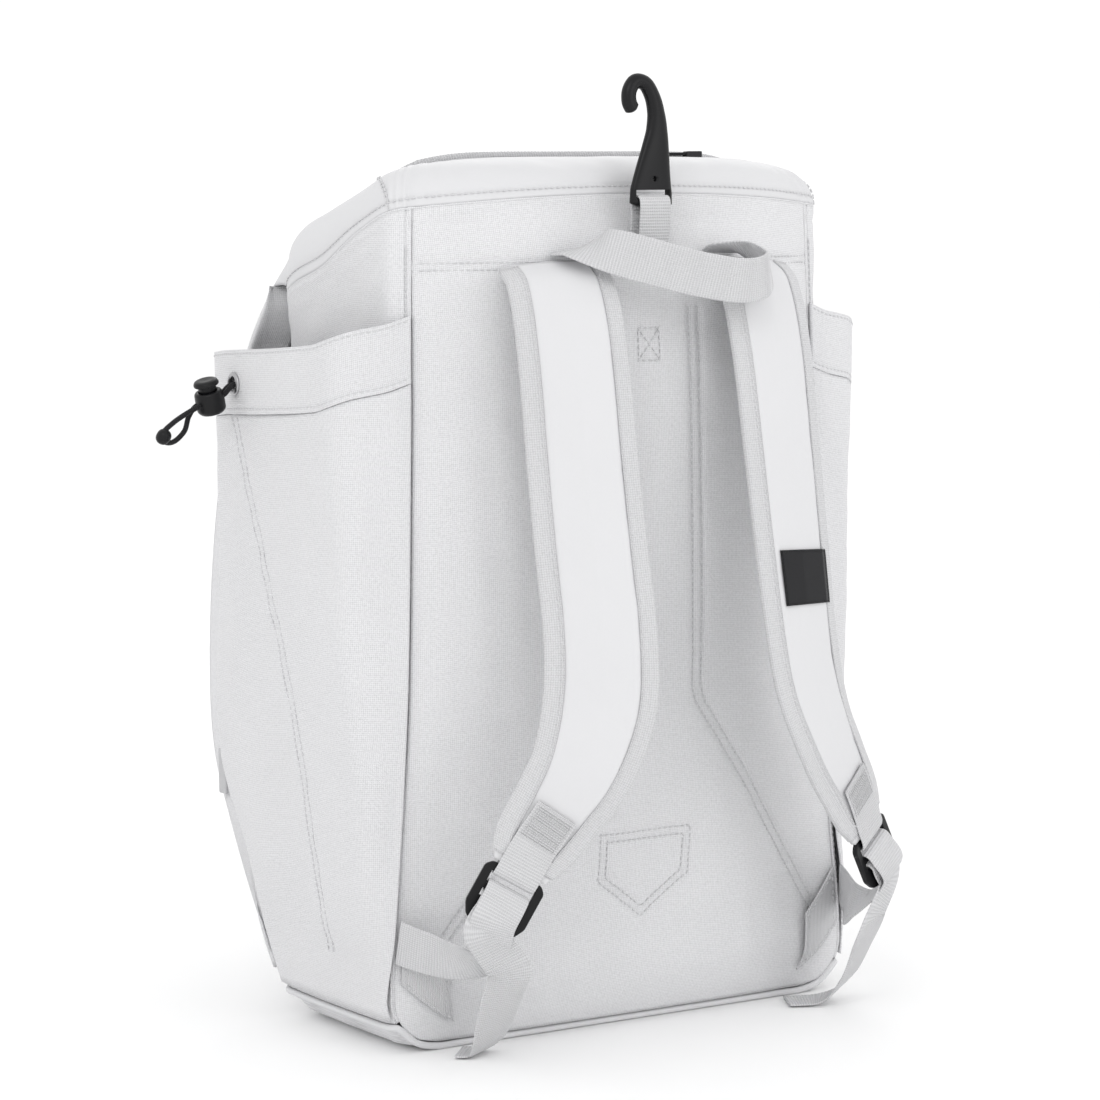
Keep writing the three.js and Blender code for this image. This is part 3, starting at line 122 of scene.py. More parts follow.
def read(rows, key, at, column):
    """A smooth value of one column of a table, at a place between its rows."""
    x, y = rows[key], rows[column]
    at = np.asarray(at, float)
    i = np.clip(np.searchsorted(x, at, side="left") - 1, 0, len(x) - 2)
    span = x[i + 1] - x[i]
    t = np.clip((at - x[i]) / span, 0, 1)

    def slope(j):
        before, after = np.maximum(j - 1, 0), np.minimum(j + 1, len(x) - 1)
        return span * (y[after] - y[before]) / (x[after] - x[before])

    rise = t * t * (3 - 2 * t)
    return y[i] + (y[i + 1] - y[i]) * rise + slope(i) * t * (1 - t) ** 2 - slope(i + 1) * t * t * (1 - t)


def spline(points, t):
    """Places at t, from 0 to 1, on a smooth line through points, or on one line for each t."""
    points = np.asarray(points, float)
    t = np.clip(np.atleast_1d(np.asarray(t, float)), 0, 1)
    if points.ndim == 2:
        points = np.repeat(points[:, None], len(t), 1)
    count = len(points)
    long = np.concatenate([[2 * points[0] - points[1]], points, [2 * points[-1] - points[-2]]])
    i = np.minimum((t * (count - 1)).astype(int), count - 2)
    w = (t * (count - 1) - i)[:, None]
    p0, p1, p2, p3 = (long[i + k, np.arange(len(t))] for k in range(4))

    def gap(a, b):
        return np.maximum(((b - a) ** 2).sum(-1, keepdims=True) ** 0.25, 1e-4)

    d0, d1, d2 = gap(p0, p1), gap(p1, p2), gap(p2, p3)
    m1 = d1 * ((p1 - p0) / d0 - (p2 - p0) / (d0 + d1) + (p2 - p1) / d1)
    m2 = d1 * ((p2 - p1) / d1 - (p3 - p1) / (d1 + d2) + (p3 - p2) / d2)
    return p1 + m1 * w + (3 * (p2 - p1) - 2 * m1 - m2) * w ** 2 + (2 * (p1 - p2) + m1 + m2) * w ** 3


def arc(points):
    """Length along a line, from 0 at its start."""
    return np.concatenate([[0], np.cumsum(np.linalg.norm(np.diff(points, axis=0), axis=1))])


def evenly(points, pitch):
    """The same line with points about a pitch apart."""
    points = np.asarray(points, float)
    far = arc(points)
    at = np.linspace(0, far[-1], max(int(far[-1] / pitch), 1) + 1)
    return np.stack([np.interp(at, far, points[:, k]) for k in range(points.shape[1])], 1)


def ripple(p, size, seed, waves=7):
    """Soft unevenness between about -1 and 1 over points in mm, the same at every run."""
    rng = np.random.default_rng(seed)
    total = 0
    for _ in range(waves):
        way = unit(rng.normal(size=3))
        total = total + np.sin((p @ way) * 2 * math.pi / (size * rng.uniform(0.7, 1.5)) + rng.uniform(0, 6.3))
    return total / math.sqrt(waves) / 1.4


def near_line(a, b, line):
    """How far each place (a, b) is from a line of corners in the same plane."""
    best = np.full(np.shape(a), 1e9)
    for (x0, y0), (x1, y1) in zip(line[:-1], line[1:]):
        dx, dy = x1 - x0, y1 - y0
        t = np.clip(((a - x0) * dx + (b - y0) * dy) / (dx * dx + dy * dy), 0, 1)
        best = np.minimum(best, np.hypot(a - x0 - t * dx, b - y0 - t * dy))
    return best


def dent(distance, width):
    return np.exp(-(distance / width) ** 2)


# The bag's tables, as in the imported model's source. Shares of the sizes above.
BODY_ROWS = table("up seam wall bulge main fold", [
    (0.0, 1.0, 1.013, 0.0, 0.5, 0.0), (0.06, 1.004, 1.023, 0.38, 0.575, 0.0),
    (0.13, 0.995, 1.016, 0.55, 0.68, 0.0), (0.2, 0.976, 1.003, 0.68, 0.72, 0.0),
    (0.3, 0.948, 0.987, 0.82, 0.725, 0.0), (0.42, 0.921, 0.974, 0.93, 0.725, 0.0),
    (0.54, 0.905, 0.967, 0.99, 0.725, 0.0), (0.66, 0.894, 0.967, 1.0, 0.725, 0.0),
    (0.72, 0.888, 0.967, 1.0, 0.72, 0.05), (0.77, 0.884, 0.967, 1.0, 0.645, 0.6),
    (0.815, 0.882, 0.967, 0.99, 0.567, 1.0), (0.875, 0.879, 0.967, 0.96, 0.562, 1.0),
    (0.935, 0.874, 0.965, 0.88, 0.562, 1.0), (1.0, 0.868, 0.96, 0.64, 0.562, 1.0)])
YOKE_SEAM = table("deep up", [
    (0.0, 1.0), (0.045, 0.992), (0.095, 0.983), (0.19, 0.964), (0.325, 0.932), (0.46, 0.912), (0.56, 0.891)])
RIM_ROWS = table("along out deep up", [
    (0.0, 0.0, 0.12, 1.058), (0.27, 0.477, 0.12, 1.057), (0.467, 0.702, 0.142, 1.05),
    (0.6, 0.762, 0.197, 1.042), (0.667, 0.781, 0.258, 1.032), (0.8, 0.801, 0.395, 1.004),
    (0.933, 0.861, 0.549, 0.967), (1.0, 0.92, 0.652, 0.906), (1.1, 0.955, 0.708, 0.859),
    (1.2, 0.962, 0.764, 0.818), (1.45, 0.962, 0.88, 0.726), (1.8, 0.962, 0.97, 0.577),
    (2.15, 0.97, 1.0, 0.427), (2.45, 0.982, 0.97, 0.31), (2.7, 1.0, 0.85, 0.214),
    (2.9, 1.014, 0.687, 0.107), (3.0, 1.006, 0.575, 0.04)])
GUSSET_ROWS = table("up deep", [
    (0.0, 0.505), (0.06, 0.58), (0.13, 0.685), (0.2, 0.73), (0.72, 0.73), (0.77, 0.728), (0.82, 0.708),
    (0.852, 0.661), (0.88, 0.627)])
POCKET_ROWS = table("up half front", [
    (0.04, 1.053, 0.532), (0.13, 1.079, 0.65), (0.215, 1.096, 0.735), (0.28, 1.106, 0.825),
    (0.335, 1.113, 0.855), (0.483, 1.149, 0.805), (0.641, 1.169, 0.762), (0.77, 1.189, 0.742),
    (0.88, 1.195, 0.734)])
STRAP_ROWS = table("down up out off wide tilt", [
    (0.0, 0.929, 0.424, 0.048, 0.98, 10), (0.04, 0.905, 0.43, 0.26, 0.99, 11),
    (0.14, 0.833, 0.434, 0.415, 1.0, 12), (0.3, 0.716, 0.437, 0.55, 1.0, 14),
    (0.45, 0.598, 0.437, 0.69, 1.0, 16), (0.57, 0.502, 0.437, 0.825, 1.0, 18),
    (0.67, 0.427, 0.46, 0.92, 1.0, 20), (0.77, 0.36, 0.532, 0.985, 0.91, 22),
    (0.86, 0.308, 0.63, 0.995, 0.81, 22), (0.94, 0.268, 0.713, 1.0, 0.72, 22),
    (1.0, 0.238, 0.766, 1.01, 0.52, 22)])


# Surfaces of the bag, each a function of two shares or places
def body(z, column):
    return read(BODY_ROWS, "up", np.asarray(z) / BODY_HEIGHT, column)


def seam_half(z):
    below = np.clip(EDGE_UP + CORNER_RADIUS - np.asarray(z, float), 0, CORNER_RADIUS)
    return body(z, "seam") * BACK_HALF - CORNER_RADIUS + np.sqrt(CORNER_RADIUS ** 2 - below ** 2)


def top_seam(x):
    return BODY_HEIGHT + TOP_ARCH * (1 - (x / seam_half(BODY_HEIGHT)) ** 2)


def back_face(x, z):
    z = np.minimum(z, BODY_HEIGHT)
    share = np.minimum(np.abs(x) / seam_half(z), 1)
    return -body(z, "bulge") * BACK_BULGE * (1 - share ** BULGE_POWER)


def seam_tuck(z):
    return 1.3 * (1 - ease(60, 130, z))


def side_point(u, z):
    u, z = np.broadcast_arrays(np.asarray(u, float), np.asarray(z, float))
    shape, u, z = u.shape, u.ravel(), z.ravel()
    seam, wall = seam_half(z), body(z, "wall") * BACK_HALF
    deep, fold, tuck = body(z, "main") * BODY_DEPTH, body(z, "fold") * GROOVE_DEPTH, seam_tuck(z)
    line = [
        point(seam + SEAM_GAP + tuck, 0.2 + tuck / 3, z), point(mix(seam, wall, 0.5), 2.2, z),
        point(mix(seam, wall, 0.85), 7, z), point(wall, 22, z), point(wall + 1, (22 + deep) / 2, z),
        point(wall, deep - 10, z), point(wall - 1 - 0.35 * fold, deep - 1.5, z),
        point(wall - 2 - fold, deep + 0.3 * fold, z)]
    return spline(line, u).reshape(*shape, 3)


def side_top(u):
    deep = side_point(u, 0.93 * BODY_HEIGHT)[..., 1]
    return BODY_HEIGHT * read(YOKE_SEAM, "deep", deep / BODY_DEPTH, "up")


def rim_place(t):
    return point(BACK_HALF * read(RIM_ROWS, "along", t, "out"),
                 BODY_DEPTH * read(RIM_ROWS, "along", t, "deep"),
                 BODY_HEIGHT * read(RIM_ROWS, "along", t, "up"))


def rim(along):
    """The edge that lid and front are set into: a place, the way in and the way out of the surface."""
    along = np.asarray(along, float)
    at = rim_place(along)
    run = unit(rim_place(np.minimum(along + 0.02, 3)) - rim_place(np.maximum(along - 0.02, 0)))
    aim = point(np.minimum(at[..., 0], LID_CORNER[0]), np.maximum(at[..., 1], LID_CORNER[1]), at[..., 2])
    inward = aim - at
    inward = unit(inward - dot(inward, run) * run)
    face = np.cross(run, inward)
    out = at - np.array([0, BODY_DEPTH / 2, BODY_HEIGHT / 2])
    return at, inward, face * np.where(dot(face, out) < 0, -1, 1)


def zip_width(along):
    return ZIP_WIDTH * (1 - ease(1.0, 1.15, along))


def from_rim(along, inward, face=0):
    at, way_in, way_out = rim(along)
    return at + np.asarray(inward)[..., None] * way_in + np.asarray(face)[..., None] * way_out


def binding_middle(along):
    return CLOTH + 2 * SEAM_GAP + zip_width(along) + RIM_RADIUS


def cover_edge(along):
    return from_rim(along, binding_middle(along) + RIM_RADIUS + SEAM_GAP)


def cover_point(share, along, lift=0):
    share, along, lift = np.broadcast_arrays(share, np.asarray(along, float), lift)
    edge = cover_edge(along)
    run = cover_edge(np.minimum(along + 0.03, 3)) - cover_edge(np.maximum(along - 0.03, 0.6))
    run = unit(run * (0, 1, 1))
    face = point(0, -run[..., 2], run[..., 1])
    swell = FRONT_CROWN * ease(0.6, 1.2, along) * (1 - 0.8 * ease(2.6, 3, along))
    crown = swell * (1 - np.abs(share) ** 2.4) + lift
    return point(share * edge[..., 0], edge[..., 1], edge[..., 2]) + crown[..., None] * face


def lid_point(share, q):
    share, q = np.broadcast_arrays(np.asarray(share, float), np.asarray(q, float))
    along = np.interp(q * 8, range(9), [0.6, 10 / 15, 11 / 15, 0.8, 13 / 15, 14 / 15, 1, 1.1, 1.2])
    columns = np.array([0, 0.15, 0.3, 0.42, 0.5, 0.6])
    corner = cover_edge(0.6)
    at = np.interp(np.abs(share), cover_edge(columns)[:, 0] / corner[0], columns)
    back = cover_edge(at) * point(np.sign(share) + (share == 0), 1, 1)
    straight = point(share * corner[0], corner[1], corner[2])
    return cover_point(share, along) + (back - straight) * ((1 - q) ** 2)[..., None]


def yoke_point(i, t):
    """i runs from the middle of the back, 0, over the corner, 7, to the yoke's front end, 15."""
    i, t = np.broadcast_arrays(np.asarray(i, float), np.asarray(t, float))
    x = np.minimum(i / 7, 1) * seam_half(BODY_HEIGHT)
    u = np.interp(i - 7, range(10), np.array([0, 1, 2, 3, 3.5, 4, 4.5, 5, 6, 7]) / 7)
    on_side = side_point(u, side_top(u))
    foot = np.where((i < 7)[..., None], point(x, back_face(x, BODY_HEIGHT), top_seam(x)), on_side)
    at = rim(i / 15)[0]
    swell = point(foot[..., 0] * 1.012, foot[..., 1] - 1.5 * (1 - ease(0, 7, i)), at[..., 2] + 3)
    t = t[..., None]
    return foot * (1 - t) ** 2 + 2 * swell * t * (1 - t) + at * t * t


def gusset_point(s, along):
    s, along = np.broadcast_arrays(np.asarray(s, float), np.asarray(along, float))
    shape, s, along = s.shape, s.ravel(), along.ravel()
    edge = from_rim(along, 0, -0.2)
    z = edge[:, 2]
    wall = np.maximum(edge[:, 0], body(z, "wall") * BACK_HALF)
    fold = body(z, "fold") * GROOVE_DEPTH
    deep = BODY_DEPTH * read(GUSSET_ROWS, "up", z / BODY_HEIGHT, "deep")
    line = [point(wall - 2 - fold, deep - 0.3 * fold + 2.7, z), point(wall - 1 - 0.35 * fold, deep + 3.9, z),
            point(mix(wall, edge[:, 0], 0.5), mix(deep, edge[:, 1], 0.5), z), edge]
    return spline(line, s).reshape(*shape, 3)


def front_pocket_point(s, t, lift=0):
    s, t = np.broadcast_arrays(np.asarray(s, float), np.asarray(t, float))
    rise = (1 - s ** 6) * (1 - (2 * t - 1) ** 6)
    return cover_point(s * 0.74, mix(1.5, 2.62, t), 3 * SEAM_GAP + CLOTH + 13 * rise + lift)


def pocket(z, column):
    return read(POCKET_ROWS, "up", np.asarray(z) / BODY_HEIGHT, column)


def pocket_point(w, z):
    w, z = np.broadcast_arrays(np.asarray(w, float), np.asarray(z, float))
    shape, w, z = w.shape, w.ravel(), z.ravel()
    seam, wall = seam_half(z), body(z, "wall") * BACK_HALF
    half, front = pocket(z, "half") * BACK_HALF, pocket(z, "front") * BODY_DEPTH
    flare, tuck = half - seam, seam_tuck(z)
    line = [
        point(seam + 1.4 + tuck, -2.4 - 1.8 * tuck, z), point(seam + 0.3 * flare + 2 * tuck, -1.8 * tuck, z),
        point(seam + 0.75 * flare, 7, z), point(half - 0.06 * flare, 15, z), point(half, 28, z),
        point(half + 0.5, 75, z), point(half - 0.5, front - 34, z),
        point(mix(half, wall, 0.2), front - 10, z),
        point(mix(wall, half, 0.45) + 1.4, front - 0.5, z), point(wall + 1.4, front + 2.5, z)]
    full = spline(line, w)
    low = 1 - ease(POCKET_FOOT, POCKET_FLARE_END, z)
    u = mix(0.09, 0.93, w)
    run = unit(side_point(u + 0.01, z) - side_point(u - 0.01, z))
    near = side_point(u, z) + point(run[:, 1], -run[:, 0], 0) * (POCKET_CLOTH + 1.5)
    return mix(full, near, low[:, None]).reshape(*shape, 3)


def rim_height(w):
    return mix(RIM_FRONT, RIM_BACK, (1 - np.asarray(w, float)) ** RIM_CURVE)


def strap_row(t, column):
    return read(STRAP_ROWS, "down", t, column)


def strap_middle(t):
    x, z = BACK_HALF * strap_row(t, "out"), BODY_HEIGHT * strap_row(t, "up")
    return point(x, back_face(x, z) - STRAP_REACH * strap_row(t, "off"), z)


def strap_frame(t):
    t = np.asarray(t, float)
    at = strap_middle(t)
    along = unit(strap_middle(np.minimum(t + 0.01, 1)) - strap_middle(np.maximum(t - 0.01, 0)))
    tilt = np.radians(strap_row(t, "tilt"))
    across = point(np.cos(tilt), np.sin(tilt), 0)
    across = unit(across - dot(across, along) * along)
    return at, along, across, -np.cross(along, across)


def strap_fill(share):
    return np.interp(np.abs(share), [0, 0.62, 0.8, 1], [1, 0.8, 0.12, 0])


def strap_thinning(t):
    return 1 - 0.75 * ease(0.85, 1, t)


def strap_half(share, t):
    padded = ease(-0.03, 0.04, t) * strap_thinning(t)
    return (STRAP_EDGE + (STRAP_THICK - STRAP_EDGE) * strap_fill(share) * padded) / 2


def strap_point(share, t, side, lift=0):
    at, _, across, face = strap_frame(t)
    wide = STRAP_WIDTH * strap_row(t, "wide") / 2
    high = np.asarray(side * (strap_half(share, t) + lift))
    return at + (share * wide)[..., None] * across + high[..., None] * face


# Meshes
def framed(points):
    """Places in mm in the bag's frame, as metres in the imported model's frame."""
    return np.asarray(points, float) * MM + (0, BACK_SEAM, 0)


def mesh_object(name, points, faces, material, uv=None, smooth=True):
    mesh = bpy.data.meshes.new(name)
    mesh.from_pydata(framed(points).tolist(), [], [list(map(int, f)) for f in faces])
    if uv is not None:
        layer = mesh.uv_layers.new(name="cloth")
        loops = np.zeros(len(mesh.loops), np.int32)
        mesh.loops.foreach_get("vertex_index", loops)
        layer.data.foreach_set("uv", (np.asarray(uv, float)[loops] * MM).astype(np.float32).ravel())
    if smooth:
        mesh.polygons.foreach_set("use_smooth", [True] * len(mesh.polygons))
    mesh.materials.append(material)
    obj = bpy.data.objects.new(name, mesh)
    bpy.context.scene.collection.objects.link(obj)
    return obj


def baked(obj):
    """The object with what its modifiers make as its own plain mesh."""
    bpy.context.view_layer.update()
    graph = bpy.context.evaluated_depsgraph_get()
    made = bpy.data.meshes.new_from_object(obj.evaluated_get(graph), depsgraph=graph)
    obj.modifiers.clear()
    obj.data = made
    return obj


def grid_faces(rows, cols, ring=False):
    last = cols if ring else cols - 1
    i, j = np.meshgrid(np.arange(rows - 1), np.arange(last), indexing="ij")
    k = (j + 1) % cols
    return np.stack([i * cols + j, (i + 1) * cols + j, (i + 1) * cols + k, i * cols + k], -1).reshape(-1, 4)


def grid_uv(grid):
    du = np.linalg.norm(np.diff(grid, axis=0), axis=2)
    dv = np.linalg.norm(np.diff(grid, axis=1), axis=2)
    u = np.concatenate([np.zeros((1, grid.shape[1])), np.cumsum(du, 0)])
    v = np.concatenate([np.zeros((grid.shape[0], 1)), np.cumsum(dv, 1)], 1)
    return np.stack([u - u[len(u) // 2], v], -1).reshape(-1, 2)


def normals(grid):
    du, dv = np.gradient(grid, axis=0), np.gradient(grid, axis=1)
    return unit(np.cross(du, dv))


def outward(grid, middle=BAG_MIDDLE):
    """Normals of a grid that point away from the bag's middle."""
    n = normals(grid)
    away = (n * (grid - np.array(middle, float))).sum(-1).mean()
    return n * (1 if away > 0 else -1)


def cloth(name, grid, material, thick=CLOTH, middle=BAG_MIDDLE):
    """A wall of cloth behind a grid of places on its outer face, with a rounded edge all round."""
    rows, cols = grid.shape[:2]
    out = outward(grid, middle)
    flipped = (normals(grid) * out).sum() < 0
    faces = grid_faces(rows, cols)
    outer = faces[:, ::-1] if flipped else faces
    inner = faces + rows * cols
    inner = inner if flipped else inner[:, ::-1]
    rim_ids = np.concatenate([np.arange(cols), np.arange(1, rows) * cols + cols - 1,
                              (rows - 1) * cols + np.arange(cols - 2, -1, -1),
                              np.arange(rows - 2, 0, -1) * cols])
    after = np.roll(rim_ids, -1)
    wall = np.stack([rim_ids, after, after + rows * cols, rim_ids + rows * cols], -1)
    wall = wall[:, ::-1] if flipped else wall
    points = np.concatenate([grid.reshape(-1, 3), (grid - out * thick).reshape(-1, 3)])
    uv = np.concatenate([grid_uv(grid)] * 2)
    return mesh_object(name, points, np.concatenate([outer, inner, wall]), material, uv)


def loops_object(name, loops, material, ring=False, uv=None):
    """A closed surface from loops of places, open or joined into a ring."""
    loops = np.asarray(loops, float)
    rows, cols = loops.shape[:2]
    faces = grid_faces(rows, cols, ring=True).tolist()
    if ring:
        last = (rows - 1) * cols
        faces += [[last + j, j, (j + 1) % cols, last + (j + 1) % cols] for j in range(cols)]
    else:
        faces += [list(range(cols)), list(range((rows - 1) * cols, rows * cols))[::-1]]
    if uv is None:
        far = arc(loops.mean(1))
        round_ = arc(np.concatenate([loops[0], loops[0][:1]]))[:-1]
        uv = np.stack(np.meshgrid(far, round_, indexing="ij"), -1).reshape(-1, 2)
    points = loops.reshape(-1, 3)
    volume = 0
    for f in faces:
        a = points[f[0]]
        for k in range(1, len(f) - 1):
            volume += a @ np.cross(points[f[k]], points[f[k + 1]])
    if volume < 0:
        faces = [list(f)[::-1] for f in faces]
    return mesh_object(name, points, faces, material, uv)


def carried(path, start=(0, 1, 0)):
    """Two directions square to a path, carried along it without twist."""
    run = unit(np.gradient(path, axis=0))
    side = np.zeros_like(path)
    last = np.array(start, float)
    for i, r in enumerate(run):
        last = unit(last - (last @ r) * r)
        side[i] = last
    return side, np.cross(run, side)


def tube(name, path, radius, sides, material, ring=False, start=(0, 1, 0)):
    path = np.asarray(path, float)
    radius = np.broadcast_to(radius, len(path))
    side, up = carried(path, start)
    turn = np.linspace(0, 2 * math.pi, sides, endpoint=False)
    loops = path[:, None] + radius[:, None, None] * (
        np.cos(turn)[None, :, None] * side[:, None] + np.sin(turn)[None, :, None] * up[:, None])
    return loops_object(name, loops, material, ring=ring)


def lathe(name, profile, at, axis, material, sides=64):
    """A turned piece: profile rows are radius and height along the axis from a place."""
    axis = unit(np.array(axis, float))
    side = unit(np.cross(axis, (0, 1, 0.01)))
    up = np.cross(axis, side)
    turn = np.linspace(0, 2 * math.pi, sides, endpoint=False)
    ring = np.cos(turn)[:, None] * side + np.sin(turn)[:, None] * up
    loops = [np.array(at, float) + h * axis + max(r, 0.02) * ring for r, h in profile]
    return loops_object(name, loops, material)


def rounded(profile, radius, steps=4):
    """A profile of corners with each inner corner rounded."""
    out = [profile[0]]
    for a, b, c in zip(profile[:-2], profile[1:-1], profile[2:]):
        a, b, c = (np.array(p, float) for p in (a, b, c))
        r = min(radius, np.linalg.norm(a - b) / 2.2, np.linalg.norm(c - b) / 2.2)
        p, q = b + unit(a - b) * r, b + unit(c - b) * r
        for t in np.linspace(0, 1, steps):
            out.append(tuple(p * (1 - t) ** 2 + 2 * b * t * (1 - t) + q * t * t))
    return out + [profile[-1]]


def webbing_strip(name, path, across, width, thick, material, rib=1.7, rib_high=0.16):
    """Flat woven webbing along a path: rounded selvedges and a low rib across it at each pick."""
    fine = rib / 3
    path, across = np.asarray(path, float), np.asarray(across, float)
    both = evenly(np.concatenate([path, across], 1), fine)
    path, across = both[:, :3], both[:, 3:]
    run = unit(np.gradient(path, axis=0))
    across = unit(across - dot(across, run) * run)
    face = np.cross(run, across)
    columns = np.array([-1, -0.97, -0.9, -0.72, -0.4, 0, 0.4, 0.72, 0.9, 0.97, 1])
    edge = np.array([0.25, 0.62, 0.9, 1, 0.96, 1, 0.96, 1, 0.9, 0.62, 0.25])
    far = arc(path)
    wave = rib_high * np.cos(2 * math.pi * far / rib)
    half = thick / 2 * edge[None, :] + wave[:, None] * (np.abs(columns) < 0.95)
    place = path[:, None] + columns[None, :, None] * across[:, None] * width / 2
    top = place + half[..., None] * face[:, None]
    under = (place - half[..., None] * face[:, None])[:, ::-1]
    loops = np.concatenate([top, under], 1)
    v = columns * width / 2
    uv = np.stack(np.meshgrid(far, np.concatenate([v, v[::-1]]), indexing="ij"), -1).reshape(-1, 2)
    return loops_object(name, loops, material, uv=uv)


SIDES = (("right", 1), ("left", -1))
STITCHES = {}


def stitch(group, lines, kind="seam"):
    """Keeps lines of places for the rows of stitches that are sewn at the end."""
    for line in lines:
        STITCHES.setdefault((group, kind), []).append(np.asarray(line, float))


def both_sides(build, name):
    """One piece for each side. build(name, sign) shapes it."""
    for side, sign in SIDES:
        build(f"{name}_{side}", sign)


def mirror(points, sign):
    return np.asarray(points, float) * (sign, 1, 1)


def settle(obj, nodes, body_name=BAG):
    """Puts a finished piece on its body, for the CAD nodes that it stands for."""
    if isinstance(nodes, str):
        obj.name = f"{nodes}_look"
    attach(obj, body_name)
    if nodes:
        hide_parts(*([nodes] if isinstance(nodes, str) else nodes))
    return obj


# Camera, as fitted to the photograph
TURN = math.radians(31.42)
DOWN = math.radians(5.34)
ROLL = math.radians(-0.87)
SENSOR = 36
FOCAL_PIXELS = 3500
PHOTO_PIXELS = 1100
CAMERA_AT = framed((-1067.5, -1672.2, 458.2))
forward = np.array([math.sin(TURN) * math.cos(DOWN), math.cos(TURN) * math.cos(DOWN), -math.sin(DOWN)])
level = np.array([math.cos(TURN), -math.sin(TURN), 0])
rise = np.array([math.sin(TURN) * math.sin(DOWN), math.cos(TURN) * math.sin(DOWN), math.cos(DOWN)])
right = math.cos(ROLL) * level + math.sin(ROLL) * rise
above = -math.sin(ROLL) * level + math.cos(ROLL) * rise
camera_data = bpy.data.cameras.new("camera")
camera_data.sensor_width = SENSOR
camera_data.lens = SENSOR * FOCAL_PIXELS / PHOTO_PIXELS
camera_data.clip_end = 60
camera = bpy.data.objects.new("camera", camera_data)
camera.matrix_world = Matrix([
    [right[0], above[0], -forward[0], CAMERA_AT[0]], [right[1], above[1], -forward[1], CAMERA_AT[1]],
    [right[2], above[2], -forward[2], CAMERA_AT[2]], [0, 0, 0, 1]])
bpy.context.scene.collection.objects.link(camera)
bpy.context.scene.camera = camera


# Shader groups
def node_group(name, inputs, outputs):
    tree = bpy.data.node_groups.new(name, "ShaderNodeTree")
    for socket, kind, value in inputs:
        made = tree.interface.new_socket(socket, in_out="INPUT", socket_type=kind)
        if value is not None:
            made.default_value = value
    for socket in outputs:
        tree.interface.new_socket(socket, in_out="OUTPUT", socket_type="NodeSocketFloat")
    return tree, tree.nodes.new("NodeGroupInput"), tree.nodes.new("NodeGroupOutput")


def math_node(tree, operation, a, b=None, clamp=False):
    node = tree.nodes.new("ShaderNodeMath")
    node.operation = operation
    node.use_clamp = clamp
    for socket, value in zip(node.inputs, (a, b)):
        if isinstance(value, (int, float)):
            socket.default_value = value
        elif value is not None:
            tree.links.new(value, socket)
    return node.outputs[0]


def noise(tree, source, detail, scale=None):
    node = tree.nodes.new("ShaderNodeTexNoise")
    node.inputs["Detail"].default_value = detail
    if scale is not None:
        node.inputs["Scale"].default_value = scale
    tree.links.new(source, node.inputs["Vector"])
    return node


def weave_group():
    """Plain weave over a cloth's own coordinates: height of the threads, and their shade."""
    sockets = [("Place", "NodeSocketVector", None), ("Pitch", "NodeSocketFloat", 0.0011),
               ("Slub", "NodeSocketFloat", 0.35)]
    tree, gin, gout = node_group("weave", sockets, ["Height", "Shade"])
    parts = tree.nodes.new("ShaderNodeSeparateXYZ")
    tree.links.new(gin.outputs["Place"], parts.inputs[0])
    turns = []
    for k in (0, 1):
        far = math_node(tree, "MULTIPLY", parts.outputs[k], math.pi)
        turns.append(math_node(tree, "DIVIDE", far, gin.outputs["Pitch"]))
    warp, weft = (math_node(tree, "SINE", t) for t in turns)
    over = math_node(tree, "MULTIPLY_ADD", math_node(tree, "MULTIPLY", warp, weft), 2.0, clamp=True)
    tree.nodes[-1].inputs[2].default_value = 0.5
    a, b = math_node(tree, "ABSOLUTE", warp), math_node(tree, "ABSOLUTE", weft)
    first = math_node(tree, "MULTIPLY", a, over)
    second = math_node(tree, "MULTIPLY", b, math_node(tree, "SUBTRACT", 1.0, over))
    threads = math_node(tree, "ADD", first, second)
    slub = noise(tree, gin.outputs["Place"], 2, 620)
    centred = math_node(tree, "SUBTRACT", slub.outputs[0], 0.5)
    uneven = math_node(tree, "MULTIPLY", centred, gin.outputs["Slub"])
    height = math_node(tree, "ADD", threads, math_node(tree, "MULTIPLY", uneven, 2.0))
    tree.links.new(height, gout.inputs["Height"])
    tree.links.new(math_node(tree, "ADD", threads, math_node(tree, "MULTIPLY", uneven, 3.0), clamp=True),
                   gout.inputs["Shade"])
    return tree


def mottle_group():
    """Slow patches of lighter and darker tone over a piece, and fine grain."""
    sockets = [("Place", "NodeSocketVector", None), ("Size", "NodeSocketFloat", 14.0),
               ("Amount", "NodeSocketFloat", 0.08), ("Grain", "NodeSocketFloat", 0.04)]
    tree, gin, gout = node_group("mottle", sockets, ["Tone"])
    slow = noise(tree, gin.outputs["Place"], 3)
    tree.links.new(gin.outputs["Size"], slow.inputs["Scale"])
    fine = noise(tree, gin.outputs["Place"], 1, 900)
    a = math_node(tree, "MULTIPLY", math_node(tree, "SUBTRACT", slow.outputs[0], 0.5), gin.outputs["Amount"])
    b = math_node(tree, "MULTIPLY", math_node(tree, "SUBTRACT", fine.outputs[0], 0.5), gin.outputs["Grain"])
    tone = math_node(tree, "ADD", math_node(tree, "ADD", a, b), 1.0)
    tree.links.new(tone, gout.inputs["Tone"])
    return tree


